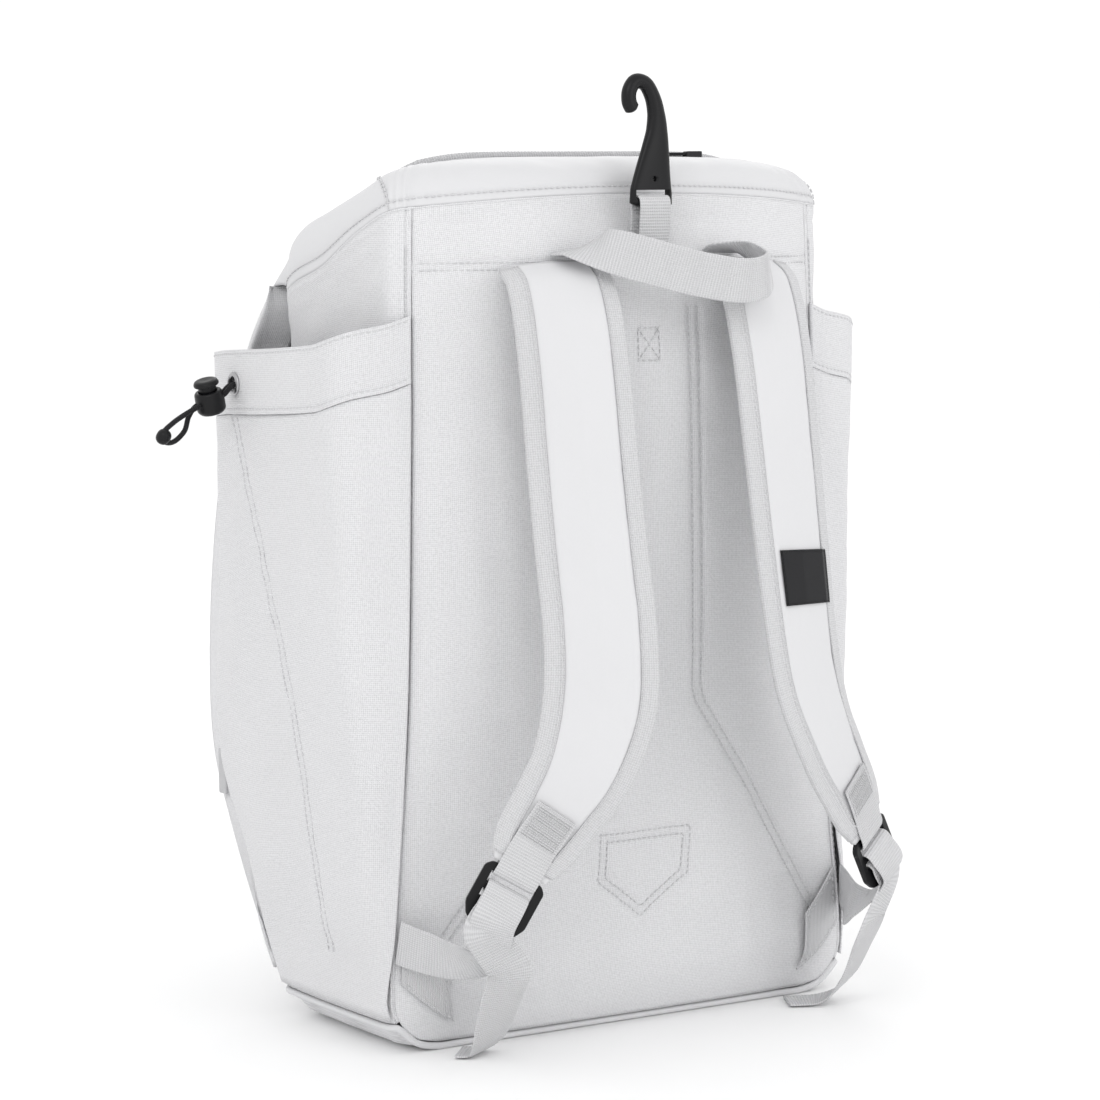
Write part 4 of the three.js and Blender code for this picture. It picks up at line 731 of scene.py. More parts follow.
def rib_group():
    """Rounded ribs along one coordinate, and fine threads along the other."""
    sockets = [("Place", "NodeSocketVector", None), ("Pitch", "NodeSocketFloat", 0.0017),
               ("Thread", "NodeSocketFloat", 0.0009)]
    tree, gin, gout = node_group("ribs", sockets, ["Height", "Shade"])
    parts = tree.nodes.new("ShaderNodeSeparateXYZ")
    tree.links.new(gin.outputs["Place"], parts.inputs[0])
    waves = []
    for place, pitch in zip(parts.outputs, ("Pitch", "Thread")):
        far = math_node(tree, "MULTIPLY", place, 2 * math.pi)
        waves.append(math_node(tree, "SINE", math_node(tree, "DIVIDE", far, gin.outputs[pitch])))
    along, cross = waves
    height = math_node(tree, "ADD", along, math_node(tree, "MULTIPLY", cross, 0.5))
    tree.links.new(height, gout.inputs["Height"])
    tree.links.new(math_node(tree, "MULTIPLY_ADD", height, 0.25, clamp=True), gout.inputs["Shade"])
    tree.nodes[-1].inputs[2].default_value = 0.62
    return tree


WEAVE, MOTTLE, RIBS = weave_group(), mottle_group(), rib_group()


def principled(name, colour, roughness, **plain):
    material = bpy.data.materials.new(name)
    material.use_nodes = True
    tree = material.node_tree
    shader = tree.nodes["Principled BSDF"]
    shader.inputs["Base Color"].default_value = (*colour, 1)
    shader.inputs["Roughness"].default_value = roughness
    for key, value in plain.items():
        shader.inputs[key.replace("_", " ").title().replace("Ior", "IOR")].default_value = value
    return material, tree, shader


def placed(tree, group, source, **values):
    node = tree.nodes.new("ShaderNodeGroup")
    node.node_tree = group
    tree.links.new(source, node.inputs["Place"])
    for key, value in values.items():
        node.inputs[key.title()].default_value = value
    return node


def coloured(tree, shader, tone, dark, light, shade=None):
    """Base colour between two colours by a shade, times a slow tone."""
    blend = tree.nodes.new("ShaderNodeMix")
    blend.data_type = "RGBA"
    blend.inputs[6].default_value = (*dark, 1)
    blend.inputs[7].default_value = (*light, 1)
    if shade is None:
        blend.inputs[0].default_value = 1.0
    else:
        tree.links.new(shade, blend.inputs[0])
    times = tree.nodes.new("ShaderNodeMix")
    times.data_type = "RGBA"
    times.blend_type = "MULTIPLY"
    times.inputs[0].default_value = 1.0
    tree.links.new(blend.outputs[2], times.inputs[6])
    tree.links.new(tone, times.inputs[7])
    tree.links.new(times.outputs[2], shader.inputs["Base Color"])


def bumped(tree, shader, height, strength, depth):
    bump = tree.nodes.new("ShaderNodeBump")
    bump.inputs["Strength"].default_value = strength
    bump.inputs["Distance"].default_value = depth
    tree.links.new(height, bump.inputs["Height"])
    tree.links.new(bump.outputs[0], shader.inputs["Normal"])


def shaded(colour, factor):
    return tuple(c * factor for c in colour)


def woven(name, colour, pitch=0.0011, depth=0.0003, contrast=0.8, roughness=0.78, sheen=0.25, group=None,
          **values):
    material, tree, shader = principled(name, colour, roughness, sheen_weight=sheen, sheen_roughness=0.4,
                                        specular_ior_level=0.3)
    own = tree.nodes.new("ShaderNodeUVMap")
    own.uv_map = "cloth"
    coordinates = tree.nodes.new("ShaderNodeTexCoord")
    pattern = placed(tree, group or WEAVE, own.outputs[0], pitch=pitch, **values)
    tone = placed(tree, MOTTLE, coordinates.outputs["Object"], size=12.0, amount=0.07, grain=0.05)
    coloured(tree, shader, tone.outputs["Tone"], shaded(colour, contrast), colour, pattern.outputs["Shade"])
    bumped(tree, shader, pattern.outputs["Height"], 0.75, depth)
    return material


def coated(name, colour, roughness=0.45, laid=True):
    """Smooth coated fabric: a soft sheen and faint fine grain."""
    material, tree, shader = principled(name, colour, roughness, specular_ior_level=0.35, coat_roughness=0.5)
    own = tree.nodes.new("ShaderNodeUVMap")
    own.uv_map = "cloth"
    coordinates = tree.nodes.new("ShaderNodeTexCoord")
    source = own.outputs[0] if laid else coordinates.outputs["Object"]
    pattern = placed(tree, WEAVE, source, pitch=0.0006, slub=0.2)
    tone = placed(tree, MOTTLE, coordinates.outputs["Object"], size=9.0, amount=0.05, grain=0.015)
    coloured(tree, shader, tone.outputs["Tone"], shaded(colour, 0.97), colour, pattern.outputs["Shade"])
    bumped(tree, shader, pattern.outputs["Height"], 0.25, 0.00006)
    return material


def moulded(name, colour, roughness, metallic=0.0, grain=0.00003, size=1400):
    """Moulded plastic or metal: fine grain, and roughness that varies with handling."""
    material, tree, shader = principled(name, colour, roughness, metallic=metallic, specular_ior_level=0.25)
    coordinates = tree.nodes.new("ShaderNodeTexCoord")
    fine = noise(tree, coordinates.outputs["Object"], 3, size)
    tone = placed(tree, MOTTLE, coordinates.outputs["Object"], size=60.0, amount=0.5, grain=0.1)
    coloured(tree, shader, tone.outputs["Tone"], colour, colour)
    rough = math_node(tree, "MULTIPLY", tone.outputs["Tone"], roughness)
    tree.links.new(rough, shader.inputs["Roughness"])
    bumped(tree, shader, fine.outputs[0], 0.4, grain)
    return material


WHITE = (0.79, 0.79, 0.805)
CLOTH_MATERIAL = woven("woven_polyester", WHITE, contrast=0.74)
POCKET_MATERIAL = woven("woven_polyester_pocket", (0.78, 0.78, 0.795), contrast=0.74)
SMOOTH_MATERIAL = coated("coated_fabric", (0.66, 0.66, 0.672))
BINDING_MATERIAL = woven("woven_binding", (0.65, 0.65, 0.663), pitch=0.0013, contrast=0.74)
RIBBED_MATERIAL = woven("ribbed_binding", (0.66, 0.66, 0.675), group=RIBS, pitch=0.0016, thread=0.0007,
                        contrast=0.7)
WEBBING_MATERIAL = woven("ribbed_webbing", (0.67, 0.67, 0.683), group=RIBS, pitch=0.0017, thread=0.0012,
                         contrast=0.72, depth=0.0002)
MESH_MATERIAL = woven("spacer_mesh", (0.66, 0.665, 0.675), pitch=0.0024, contrast=0.4, depth=0.0008)
THREAD_MATERIAL = coated("sewing_thread", (0.62, 0.62, 0.63), 0.6, laid=False)
TAPE_MATERIAL = woven("zipper_tape", (0.7, 0.705, 0.715), pitch=0.0008)
CORD_MATERIAL = woven("elastic_cord", (0.018, 0.018, 0.02), pitch=0.0012, contrast=0.35, sheen=0.1)
LABEL_MATERIAL = woven("black_label", (0.012, 0.012, 0.014), pitch=0.0005, contrast=0.6, depth=0.00008,
                       sheen=0.1)
PLASTIC_MATERIAL = moulded("black_plastic", (0.006, 0.006, 0.007), 0.36)
METAL_MATERIAL = moulded("steel_eyelet", (0.42, 0.42, 0.43), 0.32, metallic=1.0, size=300)
ENAMEL_MATERIAL = moulded("black_enamel", (0.015, 0.015, 0.017), 0.22, size=500)


# Draw cords with their locks and beads
CORD_ROUTE = np.array([
    (-6.45, -1.8, 0.6), (2.05, -1.7, -0.7), (7.55, -2, -5.6), (15.55, -2, -8.8), (23.55, -2, -12),
    (32.05, -2.4, -15.8), (40.55, -3, -20.6), (46.55, -3.2, -25.8), (45.05, -1, -30.8), (38.55, 1.2, -31.4),
    (31.05, 2, -25.6), (28.05, 2.2, -17.6), (23.55, 2.2, -12), (15.55, 2.2, -8.8), (7.55, 2.2, -5.6),
    (2.05, 1.7, -0.9), (-6.45, 1.6, -0.3)])
LOCK_AT = (15.55, 0.1, -8.8)
LOCK_LEAN = (0.3, -0.16, 1)
BEAD_AT = (46.15, -2.4, -28)


def grommet_place():
    w = np.linspace(0.5, 0.8, 61)
    line = pocket_point(w, GROMMET_UP)
    at = line[np.abs(line[:, 1] - GROMMET_DEEP).argmin()]
    return np.array([at[0], GROMMET_DEEP, GROMMET_UP])


GROMMET = grommet_place()
LOCK_TOP = 15 / 2 - 1.6


def draw_cord(name, sign):
    path = mirror(GROMMET + spline(CORD_ROUTE, np.linspace(0, 1, 160)), sign)
    cord = tube(name, path, CORD_RADIUS, 14, CORD_MATERIAL)
    return settle(cord, name), path


def lock_barrel(name, sign):
    profile = rounded([(0.02, -7.5), (6.6, -7.5), (8.3, -5.4), (8.45, 0), (8.1, 4.7), (7.2, LOCK_TOP),
                       (5.5, LOCK_TOP), (5.4, 1.5), (0.02, 1.5)], 0.9)
    barrel = lathe(name, profile, mirror(GROMMET + LOCK_AT, sign), mirror(LOCK_LEAN, sign), PLASTIC_MATERIAL)
    return settle(barrel, name)


def lock_button(name, sign):
    low = LOCK_TOP - 0.8
    seat = LOCK_TOP + 3.3
    profile = rounded([(0.02, low), (5.15, low), (5.15, seat), (7.1, seat), (7.4, seat + 1.1),
                       (6.6, seat + 2.9), (4.6, seat + 3.4), (0.02, seat + 2.9)], 0.7)
    button = lathe(name, profile, mirror(GROMMET + LOCK_AT, sign), mirror(LOCK_LEAN, sign), PLASTIC_MATERIAL)
    return settle(button, name, "button_right" if sign > 0 else "button_left")


def cord_bead(name, sign):
    profile = [(4.4 * math.sin(a) * (1 + 0.05 * math.sin(3 * a)), -4.6 * math.cos(a))
               for a in np.linspace(0.02, math.pi - 0.02, 28)]
    at, axis = mirror(GROMMET + BEAD_AT, sign), mirror((0.25, 0.6, -0.8), sign)
    bead = lathe(name, profile, at, axis, PLASTIC_MATERIAL, 40)
    return settle(bead, name)


for side, sign in SIDES:
    cord, cord_path = draw_cord(f"draw_cord_{side}", sign)
    barrel = lock_barrel(f"lock_barrel_{side}", sign)
    lock_button(f"lock_button_{side}", sign)
    bead = cord_bead(f"cord_bead_{side}", sign)


# Grommets
def grommet(name, sign):
    bore, flange = 4.2, 6.8
    profile = [(bore, -1.4), (bore - 0.05, 1.2)]
    profile += [(mix(bore, flange, t) + 0.1, 1.3 + 1.15 * math.sin(math.pi * (0.15 + 0.85 * t)))
                for t in np.linspace(0, 1, 9)]
    profile += [(flange, 1.0), (bore + 0.8, 0.9), (bore + 0.8, -1.4)]
    axis = np.array([1.0, 0, 0]) * sign
    at = mirror(GROMMET - (POCKET_CLOTH / 2, 0, 0), sign)
    side = np.array([0.0, 1, 0])
    up = np.cross(axis, side)
    turn = np.linspace(0, 2 * math.pi, 48, endpoint=False)
    circle = np.cos(turn)[:, None] * side + np.sin(turn)[:, None] * up
    loops = [at + h * axis + r * circle for r, h in profile]
    return settle(loops_object(name, loops, METAL_MATERIAL, ring=True), name)


both_sides(grommet, "grommet")

# Back panel: padded, with sewn channels, the plate outline, the box under the handle and soft folds
CHANNEL_OUT = (27.5, 33.5)
CHANNEL_TOP = 409
CHANNEL_TURN = (196, 186)
CHANNEL_FOOT = 44
CHANNEL_SPREAD = 106
CHANNEL_DEPTH = 1.9
CHANNELS = []
for out in CHANNEL_OUT:
    for way in (1, -1):
        upright = [(way * out, CHANNEL_TOP), (way * out, CHANNEL_TURN[0])]
        slant = [(way * (out + 3), CHANNEL_TURN[1]), (way * (out + CHANNEL_SPREAD), CHANNEL_FOOT)]
        CHANNELS.append(upright + slant)
PLATES = [[(-h, t), (h, t), (h, m), (0, b), (-h, m), (-h, t)]
          for h, t, m, b in ((30, 114, 87, 64), (25.5, 109.5, 89, 69.5))]
BOX = [[(-7, 381), (7, 381), (7, 399), (-7, 399), (-7, 381)], [(-7, 381), (7, 399)], [(7, 381), (-7, 399)]]
CROSS_SEAMS = [433.2, 437.0]


def back_relief(x, z):
    """How far the padded cloth stands in, in mm, at each place of the back."""
    deep = 0.0
    for line in CHANNELS:
        deep = deep + CHANNEL_DEPTH * dent(near_line(x, z, line), 2.1)
    for line in PLATES:
        deep = deep + 1.1 * dent(near_line(x, z, line), 1.4)
    for line in BOX:
        deep = deep + 0.6 * dent(near_line(x, z, line), 1.1)
    for level_ in CROSS_SEAMS:
        deep = deep + 1.1 * dent(z - level_, 1.3)
    low = ease(30, 60, z) * (1 - ease(100, 175, z))
    folds = np.sin(x / 13.5 + 0.8 * np.sin(x / 31)) * (1 - ease(95, 135, np.abs(x)))
    deep = deep + 2.0 * low * (0.5 + 0.5 * folds)
    p = point(x, 0, z)
    from_side = seam_half(np.minimum(z, BODY_HEIGHT)) - np.abs(x)
    soft = ease(4, 22, from_side) * ease(8, 26, z) * ease(3, 14, 472 - z)
    deep = deep + soft * (1.2 + 1.2 * ripple(p * (1, 1, 0.5), 58, 3) + 0.5 * ripple(p, 21, 5))
    return deep


def back_surface(x, z, lift=0.0):
    return point(x, back_face(x, z) + back_relief(x, z) - lift, z)


def back_panel():
    share = np.linspace(-1, 1, 161)[:, None]
    t = np.linspace(0, 1, 201)[None, :]
    top = top_seam(share * seam_half(BODY_HEIGHT)) - 2 * SEAM_GAP
    z = mix(EDGE_UP, top, t)
    x = share * (seam_half(np.minimum(z, BODY_HEIGHT)) - SEAM_GAP)
    panel = cloth("back_panel", back_surface(x, z), CLOTH_MATERIAL, 2.2)
    settle(panel, "back_panel")
    for line in CHANNELS + PLATES + BOX:
        corners = evenly(line, 0.8)
        stitch("back", [back_surface(corners[:, 0], corners[:, 1], 0.6)])
    x = np.linspace(-1, 1, 220)
    for level_ in CROSS_SEAMS:
        stitch("back", [back_surface(x * (seam_half(level_) - 5), np.full_like(x, level_), 0.5)])


back_panel()


# Side walls, with a stitched channel beside the back seam
CHANNEL_AT = 0.055


def side_wall(name, sign):
    u = np.linspace(0, 1, 72)[:, None]
    top = side_top(u) - 2.4 * SEAM_GAP
    t = np.linspace(0, 1, 120)[None, :]
    z = mix(EDGE_UP + CORNER_RADIUS * 0.5, top, t)
    grid = side_point(u, z)
    out = outward(grid)
    worn = 0.9 * dent(u - CHANNEL_AT, 0.012) + 0.7 * dent(top - z - 8, 2.2)
    soft = ease(0.06, 0.16, u) * ease(0, 0.06, 1 - u) * ease(0, 0.1, t) * ease(0, 0.06, 1 - t)
    worn = worn + soft * (0.9 + 0.9 * ripple(grid * (1, 1, 0.5), 60, 11) + 0.4 * ripple(grid, 23, 12))
    grid = grid - out * worn[..., None]
    wall = cloth(name, mirror(grid, sign), CLOTH_MATERIAL, 1.4)
    z = np.linspace(40, 445, 300)
    stitch("sides", [mirror(side_point(CHANNEL_AT, z) + (0.1, -0.3, 0), sign)])
    return settle(wall, name)


both_sides(side_wall, "side_panel")


# Welts that close the seams between the back, the sides and the yoke
def back_welt(name, sign):
    z = np.linspace(EDGE_UP + 14, BODY_HEIGHT - 1, 300)
    path = point(seam_half(z) + SEAM_GAP / 2, 0.75, z)
    return settle(tube(name, mirror(path, sign), WELT_RADIUS, WELT_SIDES, CLOTH_MATERIAL), ())


def yoke_welt():
    foot = yoke_point(np.linspace(0, 15, 300), 0.0)
    half = foot + WELT_RADIUS * unit(np.array([0, 110, 430]) - foot) - (0, 0, 0.4)
    path = np.concatenate([turned(half[:0:-1]), half])
    settle(tube("yoke_welt", path, WELT_RADIUS, WELT_SIDES, CLOTH_MATERIAL, start=(0, 0, 1)), ())


both_sides(back_welt, "back_welt")
yoke_welt()


# Side walls of the front compartment
def gusset(name, sign):
    s = np.linspace(0, 1, 36)[:, None]
    along = np.linspace(1.0, 2.975, 100)[None, :]
    grid = gusset_point(s, along)
    soft = np.sin(math.pi * s) * ease(0, 0.08, (along - 1.0) / 1.97)
    grid = grid - outward(grid) * (soft * (0.8 + 0.8 * ripple(grid, 48, 21)))[..., None]
    return settle(cloth(name, mirror(grid, sign), CLOTH_MATERIAL, 1.2), name)


both_sides(gusset, "gusset")


# Yoke: smooth coated fabric round the top, gathered a little at its rear corners
def yoke():
    i = np.linspace(0, 15, 150)
    t = np.linspace(0, 1, 44)
    half = yoke_point(i[:, None], t[None, :])
    grid = np.concatenate([turned(half[:0:-1]), half])
    at = np.concatenate([-i[:0:-1], i])[:, None]
    corner = dent(np.abs(at) - 7.4, 1.4) * (1 - t[None, :]) ** 0.5
    gathers = corner * np.sin(at * 9.5) * 0.55
    soft = np.sin(math.pi * np.clip(t, 0.02, 0.98))[None, :]
    relief = gathers + soft * (0.7 + 0.7 * ripple(grid * (0.6, 1, 1.3), 55, 31) + 0.25 * ripple(grid, 21, 32))
    relief = relief + 0.5 * dent(t - 0.1, 0.03)[None, :]
    out = outward(grid, YOKE_MIDDLE)
    band = cloth("top_band", grid - out * relief[..., None], SMOOTH_MATERIAL, 1.3, YOKE_MIDDLE)
    settle(band, "top_band")
    edge = grid[:, 4] + out[:, 4] * 0.05
    stitch("yoke", [edge])
    joins = [yoke_point(np.linspace(8.7, 9.9, 60) + k, np.linspace(0.03, 0.97, 60)) for k in (0, 0.12)]
    for join in joins:
        stitch("yoke", [turned(join) + (-0.25, 0, 0.25), join + (0.25, 0, 0.25)])


yoke()


# Lid, front panel and front pocket
def sheet_grid(fn, rows, cols, low, high, size, seed, amount, span=(-1, 1), middle=BAG_MIDDLE):
    s = np.linspace(*span, rows)[:, None]
    t = np.linspace(low, high, cols)[None, :]
    grid = fn(s, t)
    down = np.clip((t - low) / (high - low), 0.01, 0.99)
    edge = np.minimum(1 - np.abs(s), 1) ** 0.5 * np.sin(math.pi * down) ** 0.5
    relief = edge * amount * (1 + ripple(grid, size, seed) + 0.4 * ripple(grid, size / 2.4, seed + 1))
    return grid - outward(grid, middle) * relief[..., None], s, t


lid_grid, _, _ = sheet_grid(lid_point, 100, 64, 0, 1, 70, 41, 0.6)
settle(cloth("lid_panel", lid_grid, CLOTH_MATERIAL, 1.3), "lid_panel")
front_grid, _, _ = sheet_grid(cover_point, 110, 120, 1.205, 3, 80, 43, 0.8)
settle(cloth("front_panel", front_grid, CLOTH_MATERIAL, 1.3), "front_panel")
pocket_grid, _, _ = sheet_grid(front_pocket_point, 90, 90, 0, 1, 60, 45, 0.6)
settle(cloth("front_pocket", pocket_grid, CLOTH_MATERIAL, 1.3), "front_pocket")
shares = np.linspace(-0.985, 0.985, 260)
for along in (1.235, 1.25):
    stitch("front", [cover_point(shares, along, STITCH_LIFT)])
for sign in (1, -1):
    up = np.linspace(0.2, 0.985, 160)
    stitch("front", [front_pocket_point(np.full(160, sign * 0.975), up, STITCH_LIFT)])
stitch("front", [front_pocket_point(np.linspace(-0.975, 0.975, 120), np.full(120, 0.985), STITCH_LIFT)])
for t in (0.085, 0.195):
    stitch("front", [front_pocket_point(np.linspace(-0.93, 0.93, 220), np.full(220, t), STITCH_LIFT)])


# Zippers: tape, coil and slider
def zip_line(at, lift):
    half = from_rim(at, CLOTH + SEAM_GAP + zip_width(at) / 2, lift)
    return np.concatenate([turned(half[:0:-1]), half])


COIL_SHIFTS = (-0.62, 0.62)


def zip_tape(name, line, across):
    tape = webbing_strip(name, line, across, ZIP_WIDTH, 0.9, TAPE_MATERIAL, 2.4, 0.02)
    settle(tape, name)


def zipper():
    at = np.linspace(0, 1, 160)
    middle = zip_line(at, -0.7)
    inward = np.concatenate([turned(rim(at)[1][:0:-1]), rim(at)[1]])
    zip_tape("lid_zipper", middle, inward)
    for shift in COIL_SHIFTS:
        stitch("zipper", [zip_line(at, -0.05) + inward * shift], "coil")
    s = np.linspace(-0.86, 0.86, 200)
    line = front_pocket_point(s, np.full(200, 0.14), SEAM_GAP + 0.75)
    across = front_pocket_point(s, np.full(200, 0.12)) - front_pocket_point(s, np.full(200, 0.16))
    zip_tape("front_zipper", line, across)
    for shift in COIL_SHIFTS:
        stitch("zipper", [line + unit(across) * shift + (0, 0.5, 0)], "coil")


zipper()


def round_box(node, material, bevel, segments=4):
    """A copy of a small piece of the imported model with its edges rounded, as a piece of its own."""
    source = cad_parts[node]
    mesh = source.data.copy()
    obj = bpy.data.objects.new(f"{node}_look", mesh)
    bpy.context.scene.collection.objects.link(obj)
    weld = obj.modifiers.new("weld", "WELD")
    weld.merge_threshold = 1e-5
    soft = obj.modifiers.new("bevel", "BEVEL")
    soft.width = bevel
    soft.segments = segments
    soft.limit_method = "ANGLE"
    baked(obj)
    obj.data.materials.clear()
    obj.data.materials.append(material)
    obj.data.polygons.foreach_set("use_smooth", [False] * len(obj.data.polygons))
    layer = obj.data.uv_layers.get("cloth") or obj.data.uv_layers.new(name="cloth")
    for loop in obj.data.loops:
        x, y, z = obj.data.vertices[loop.vertex_index].co
        layer.data[loop.index].uv = (x + y, z)
    return settle(obj, node)


round_box("lid_slider", ENAMEL_MATERIAL, 0.0009)
round_box("front_slider", ENAMEL_MATERIAL, 0.0009)
round_box("lid_pull", CORD_MATERIAL, 0.0006)


# Ribbed binding round the lid and the front
def rim_binding():
    at = np.concatenate([np.linspace(0, 1, 160), np.linspace(1.01, 2.97, 260)])
    half = from_rim(at, binding_middle(at), 0.6)
    path = evenly(np.concatenate([turned(half[:0:-1]), half]), 0.75)
    far = arc(path)
    radius = RIM_RADIUS + 0.12 * np.cos(2 * math.pi * far / 2.25)
    settle(tube("lid_piping", path, radius, 12, RIBBED_MATERIAL, start=(0, 1, 0)), "lid_piping")


rim_binding()


# Base: cloth and its piping
BASE_MIDDLE = 0.27 * BODY_DEPTH


def foot_line():
    u = np.array([0, 1, 2, 3, 3.5, 4, 4.5, 5, 6]) / 7
    turn_up = EDGE_UP + CORNER_RADIUS * (1 - math.cos(math.radians(30)))
    foot = EDGE_UP + CORNER_RADIUS * (1 - math.cos(math.radians(60)))
    line = [point(t / 7 * seam_half(EDGE_UP), 0, EDGE_UP) for t in range(8)]
    line.append(point(seam_half(turn_up), 0, turn_up))
    line += list(side_point(u, foot))
    line += [cover_point(share, 3) for share in (1, 0.75, 0.5, 0.25, 0)]
    return np.array(line)


def foot_ring(by, down, pitch):
    p = foot_line()
    out = np.stack([p[:, 0] / BACK_HALF, (p[:, 1] - BASE_MIDDLE) / BASE_MIDDLE], 1)
    out = np.stack([np.where(np.abs(out[:, 0]) > 0.9, out[:, 0], out[:, 0] * 0.15),
                    np.where(np.abs(out[:, 1]) > 0.8, out[:, 1], 0)], 1)
    out = unit(out)
    half = p - np.concatenate([by * out, np.full((len(p), 1), down)], 1)
    ring = np.concatenate([half, turned(half[1:-1][::-1])])
    closed = np.concatenate([ring, ring[:1]])
    return evenly(spline(closed, np.linspace(0, 1, 900)), pitch)[:-1]


settle(tube("base_piping", foot_ring(PIPING_RADIUS - 1.2, PIPING_RADIUS + 0.55, 1.5), PIPING_RADIUS, 14,
            SMOOTH_MATERIAL, ring=True), "base_piping")


def base_panel():
    edge = foot_ring(2 * PIPING_RADIUS - 1 + SEAM_GAP, PIPING_RADIUS + 1.2, 4.0)
    middle = np.array([0, BASE_MIDDLE, 0])
    rings = []
    for inward, height in ((0, 1), (0.06, 0.25), (0.14, 0), (0.5, 0), (0.98, 0)):
        ring = mix(edge, edge * (0.1, 0, 0) + middle, inward)
        ring[:, 2] = edge[:, 2] * height
        rings.append(ring)
    upper = [ring + (0, 0, 2) for ring in rings]
    settle(loops_object("base_panel", rings[::-1] + upper, CLOTH_MATERIAL), "base_panel")


base_panel()


# Bat pockets with their hems and stitched seams
SLANT = [(125, 349), (87, 222), (55, 52)]


def pocket_wall(name, sign):
    w = np.linspace(0, 1, 84)[:, None]
    t = np.linspace(0, 1, 110)[None, :]
    z = mix(POCKET_FOOT, rim_height(w) - HEM_HEIGHT - SEAM_GAP, t ** 0.9)
    grid = pocket_point(w, z)
    out = outward(grid)
    edge = ease(0, 0.1, w) * ease(0, 0.1, 1 - w) * ease(0, 0.12, t)
    relief = edge * (1.2 + 1.2 * ripple(grid * (1, 1, 0.6), 75, 51) + 0.4 * ripple(grid, 26, 52))
    for shift in (0, 3.2):
        line = [(y + shift, up) for y, up in SLANT]
        outer = dent(near_line(grid[..., 1], grid[..., 2], line), 1.8)
        relief = relief + 0.7 * outer * ease(0.15, 0.3, w)
    wall = cloth(name, mirror(grid - out * relief[..., None], sign), POCKET_MATERIAL, 1.2)
    inner = cloth_surface(mirror(grid - out * relief[..., None], sign))
    for shift in (-1.6, 4.8):
        corners = evenly([(y + shift, up) for y, up in SLANT], 1.0)
        stitch("pockets", [inner(corners)])
    return settle(wall, name)


def cloth_surface(grid):
    """Reads places on a wall's outer face by their depth and height, for stitches on it."""
    flat = grid.reshape(-1, 3)
    side = np.abs(flat[:, 0]) > 160
    use = flat[side]

    def at(corners):
        found = []
        for y, z in corners:
            near = np.hypot(use[:, 1] - y, use[:, 2] - z)
            k = near.argsort()[:4]
            weight = 1 / (near[k] + 0.2)
            x = (use[k, 0] * weight).sum() / weight.sum()
            if near[k[0]] < 4:
                found.append((x + 0.15 * np.sign(x), y, z))
        return np.array(found)

    return at


def hem(name, sign):
    w = np.linspace(0, 1, 110)[:, None]
    t = np.linspace(0, 1, 36)[None, :]
    z = rim_height(w) - HEM_HEIGHT * (1 - t)
    grid = pocket_point(w, z)
    out = outward(grid)
    edge = ease(0, 0.08, w) * ease(0, 0.06, 1 - w)
    relief = edge * (1.0 + 1.0 * ripple(grid * (1, 1, 0.35), 52, 55)) + 0.5 * dent(t - 0.09, 0.05)
    relief = relief * (1 - dent(np.linalg.norm(grid - GROMMET, axis=-1), 12))
    grid = grid - out * relief[..., None]
    wall = cloth(name, mirror(grid + out * 0.1, sign), POCKET_MATERIAL, HEM_CLOTH)
    band = baked_cut(wall, mirror(GROMMET, sign), 5.2)
    for row in (3, 33):
        stitch("pockets", [mirror(grid[3:-3, row] + out[3:-3, row] * 0.2, sign)])
    return settle(band, name)


def baked_cut(obj, at, radius):
    """A round hole across x through a piece."""
    cutter = lathe("cutter", [(radius, -10), (radius, 10)], at, (1, 0, 0), PLASTIC_MATERIAL, 32)
    hole = obj.modifiers.new("hole", "BOOLEAN")
    hole.object = cutter
    hole.operation = "DIFFERENCE"
    hole.solver = "EXACT"
    baked(obj)
    bpy.data.objects.remove(cutter)
    return obj


both_sides(pocket_wall, "bat_pocket")
both_sides(hem, "pocket_hem")
for side, _ in SIDES:
    round_box(f"front_tab_{side}", RIBBED_MATERIAL, 0.0008)


# Shoulder straps: padded middle of smooth cloth, woven binding round both edges, mesh underneath
def strap(name, sign):
    t = np.linspace(0, 1, 170)
    s = np.linspace(-1, 1, 33)
    top = strap_point(s[None, :], t[:, None], 1)
    soft = (1 - np.abs(s) ** 4)[None, :] * ease(0.02, 0.1, t)[:, None]
    swell = soft * (0.35 * ripple(top, 42, 61) + 0.18 * ripple(top, 15, 62))
    top = strap_point(s[None, :], t[:, None], -1, swell)
    under = strap_point(s[None, :], t[:, None], 1, 0.6 * swell)
    loops = mirror(np.concatenate([top, under[:, ::-1]], 1), sign)
    wide = np.concatenate([s, s[::-1]]) * STRAP_WIDTH / 2
    far = arc(strap_middle(t))
    uv = np.stack(np.meshgrid(far, wide, indexing="ij"), -1).reshape(-1, 2)
    pad = loops_object(name, loops, SMOOTH_MATERIAL, uv=uv)
    pad.data.materials.append(MESH_MATERIAL)
    cols = 2 * len(s)
    for face in pad.data.polygons:
        places = [v % cols for v in face.vertices]
        if min(places) >= len(s) and max(places) - min(places) < 3:
            face.material_index = 1
    settle(pad, name)
    return pad


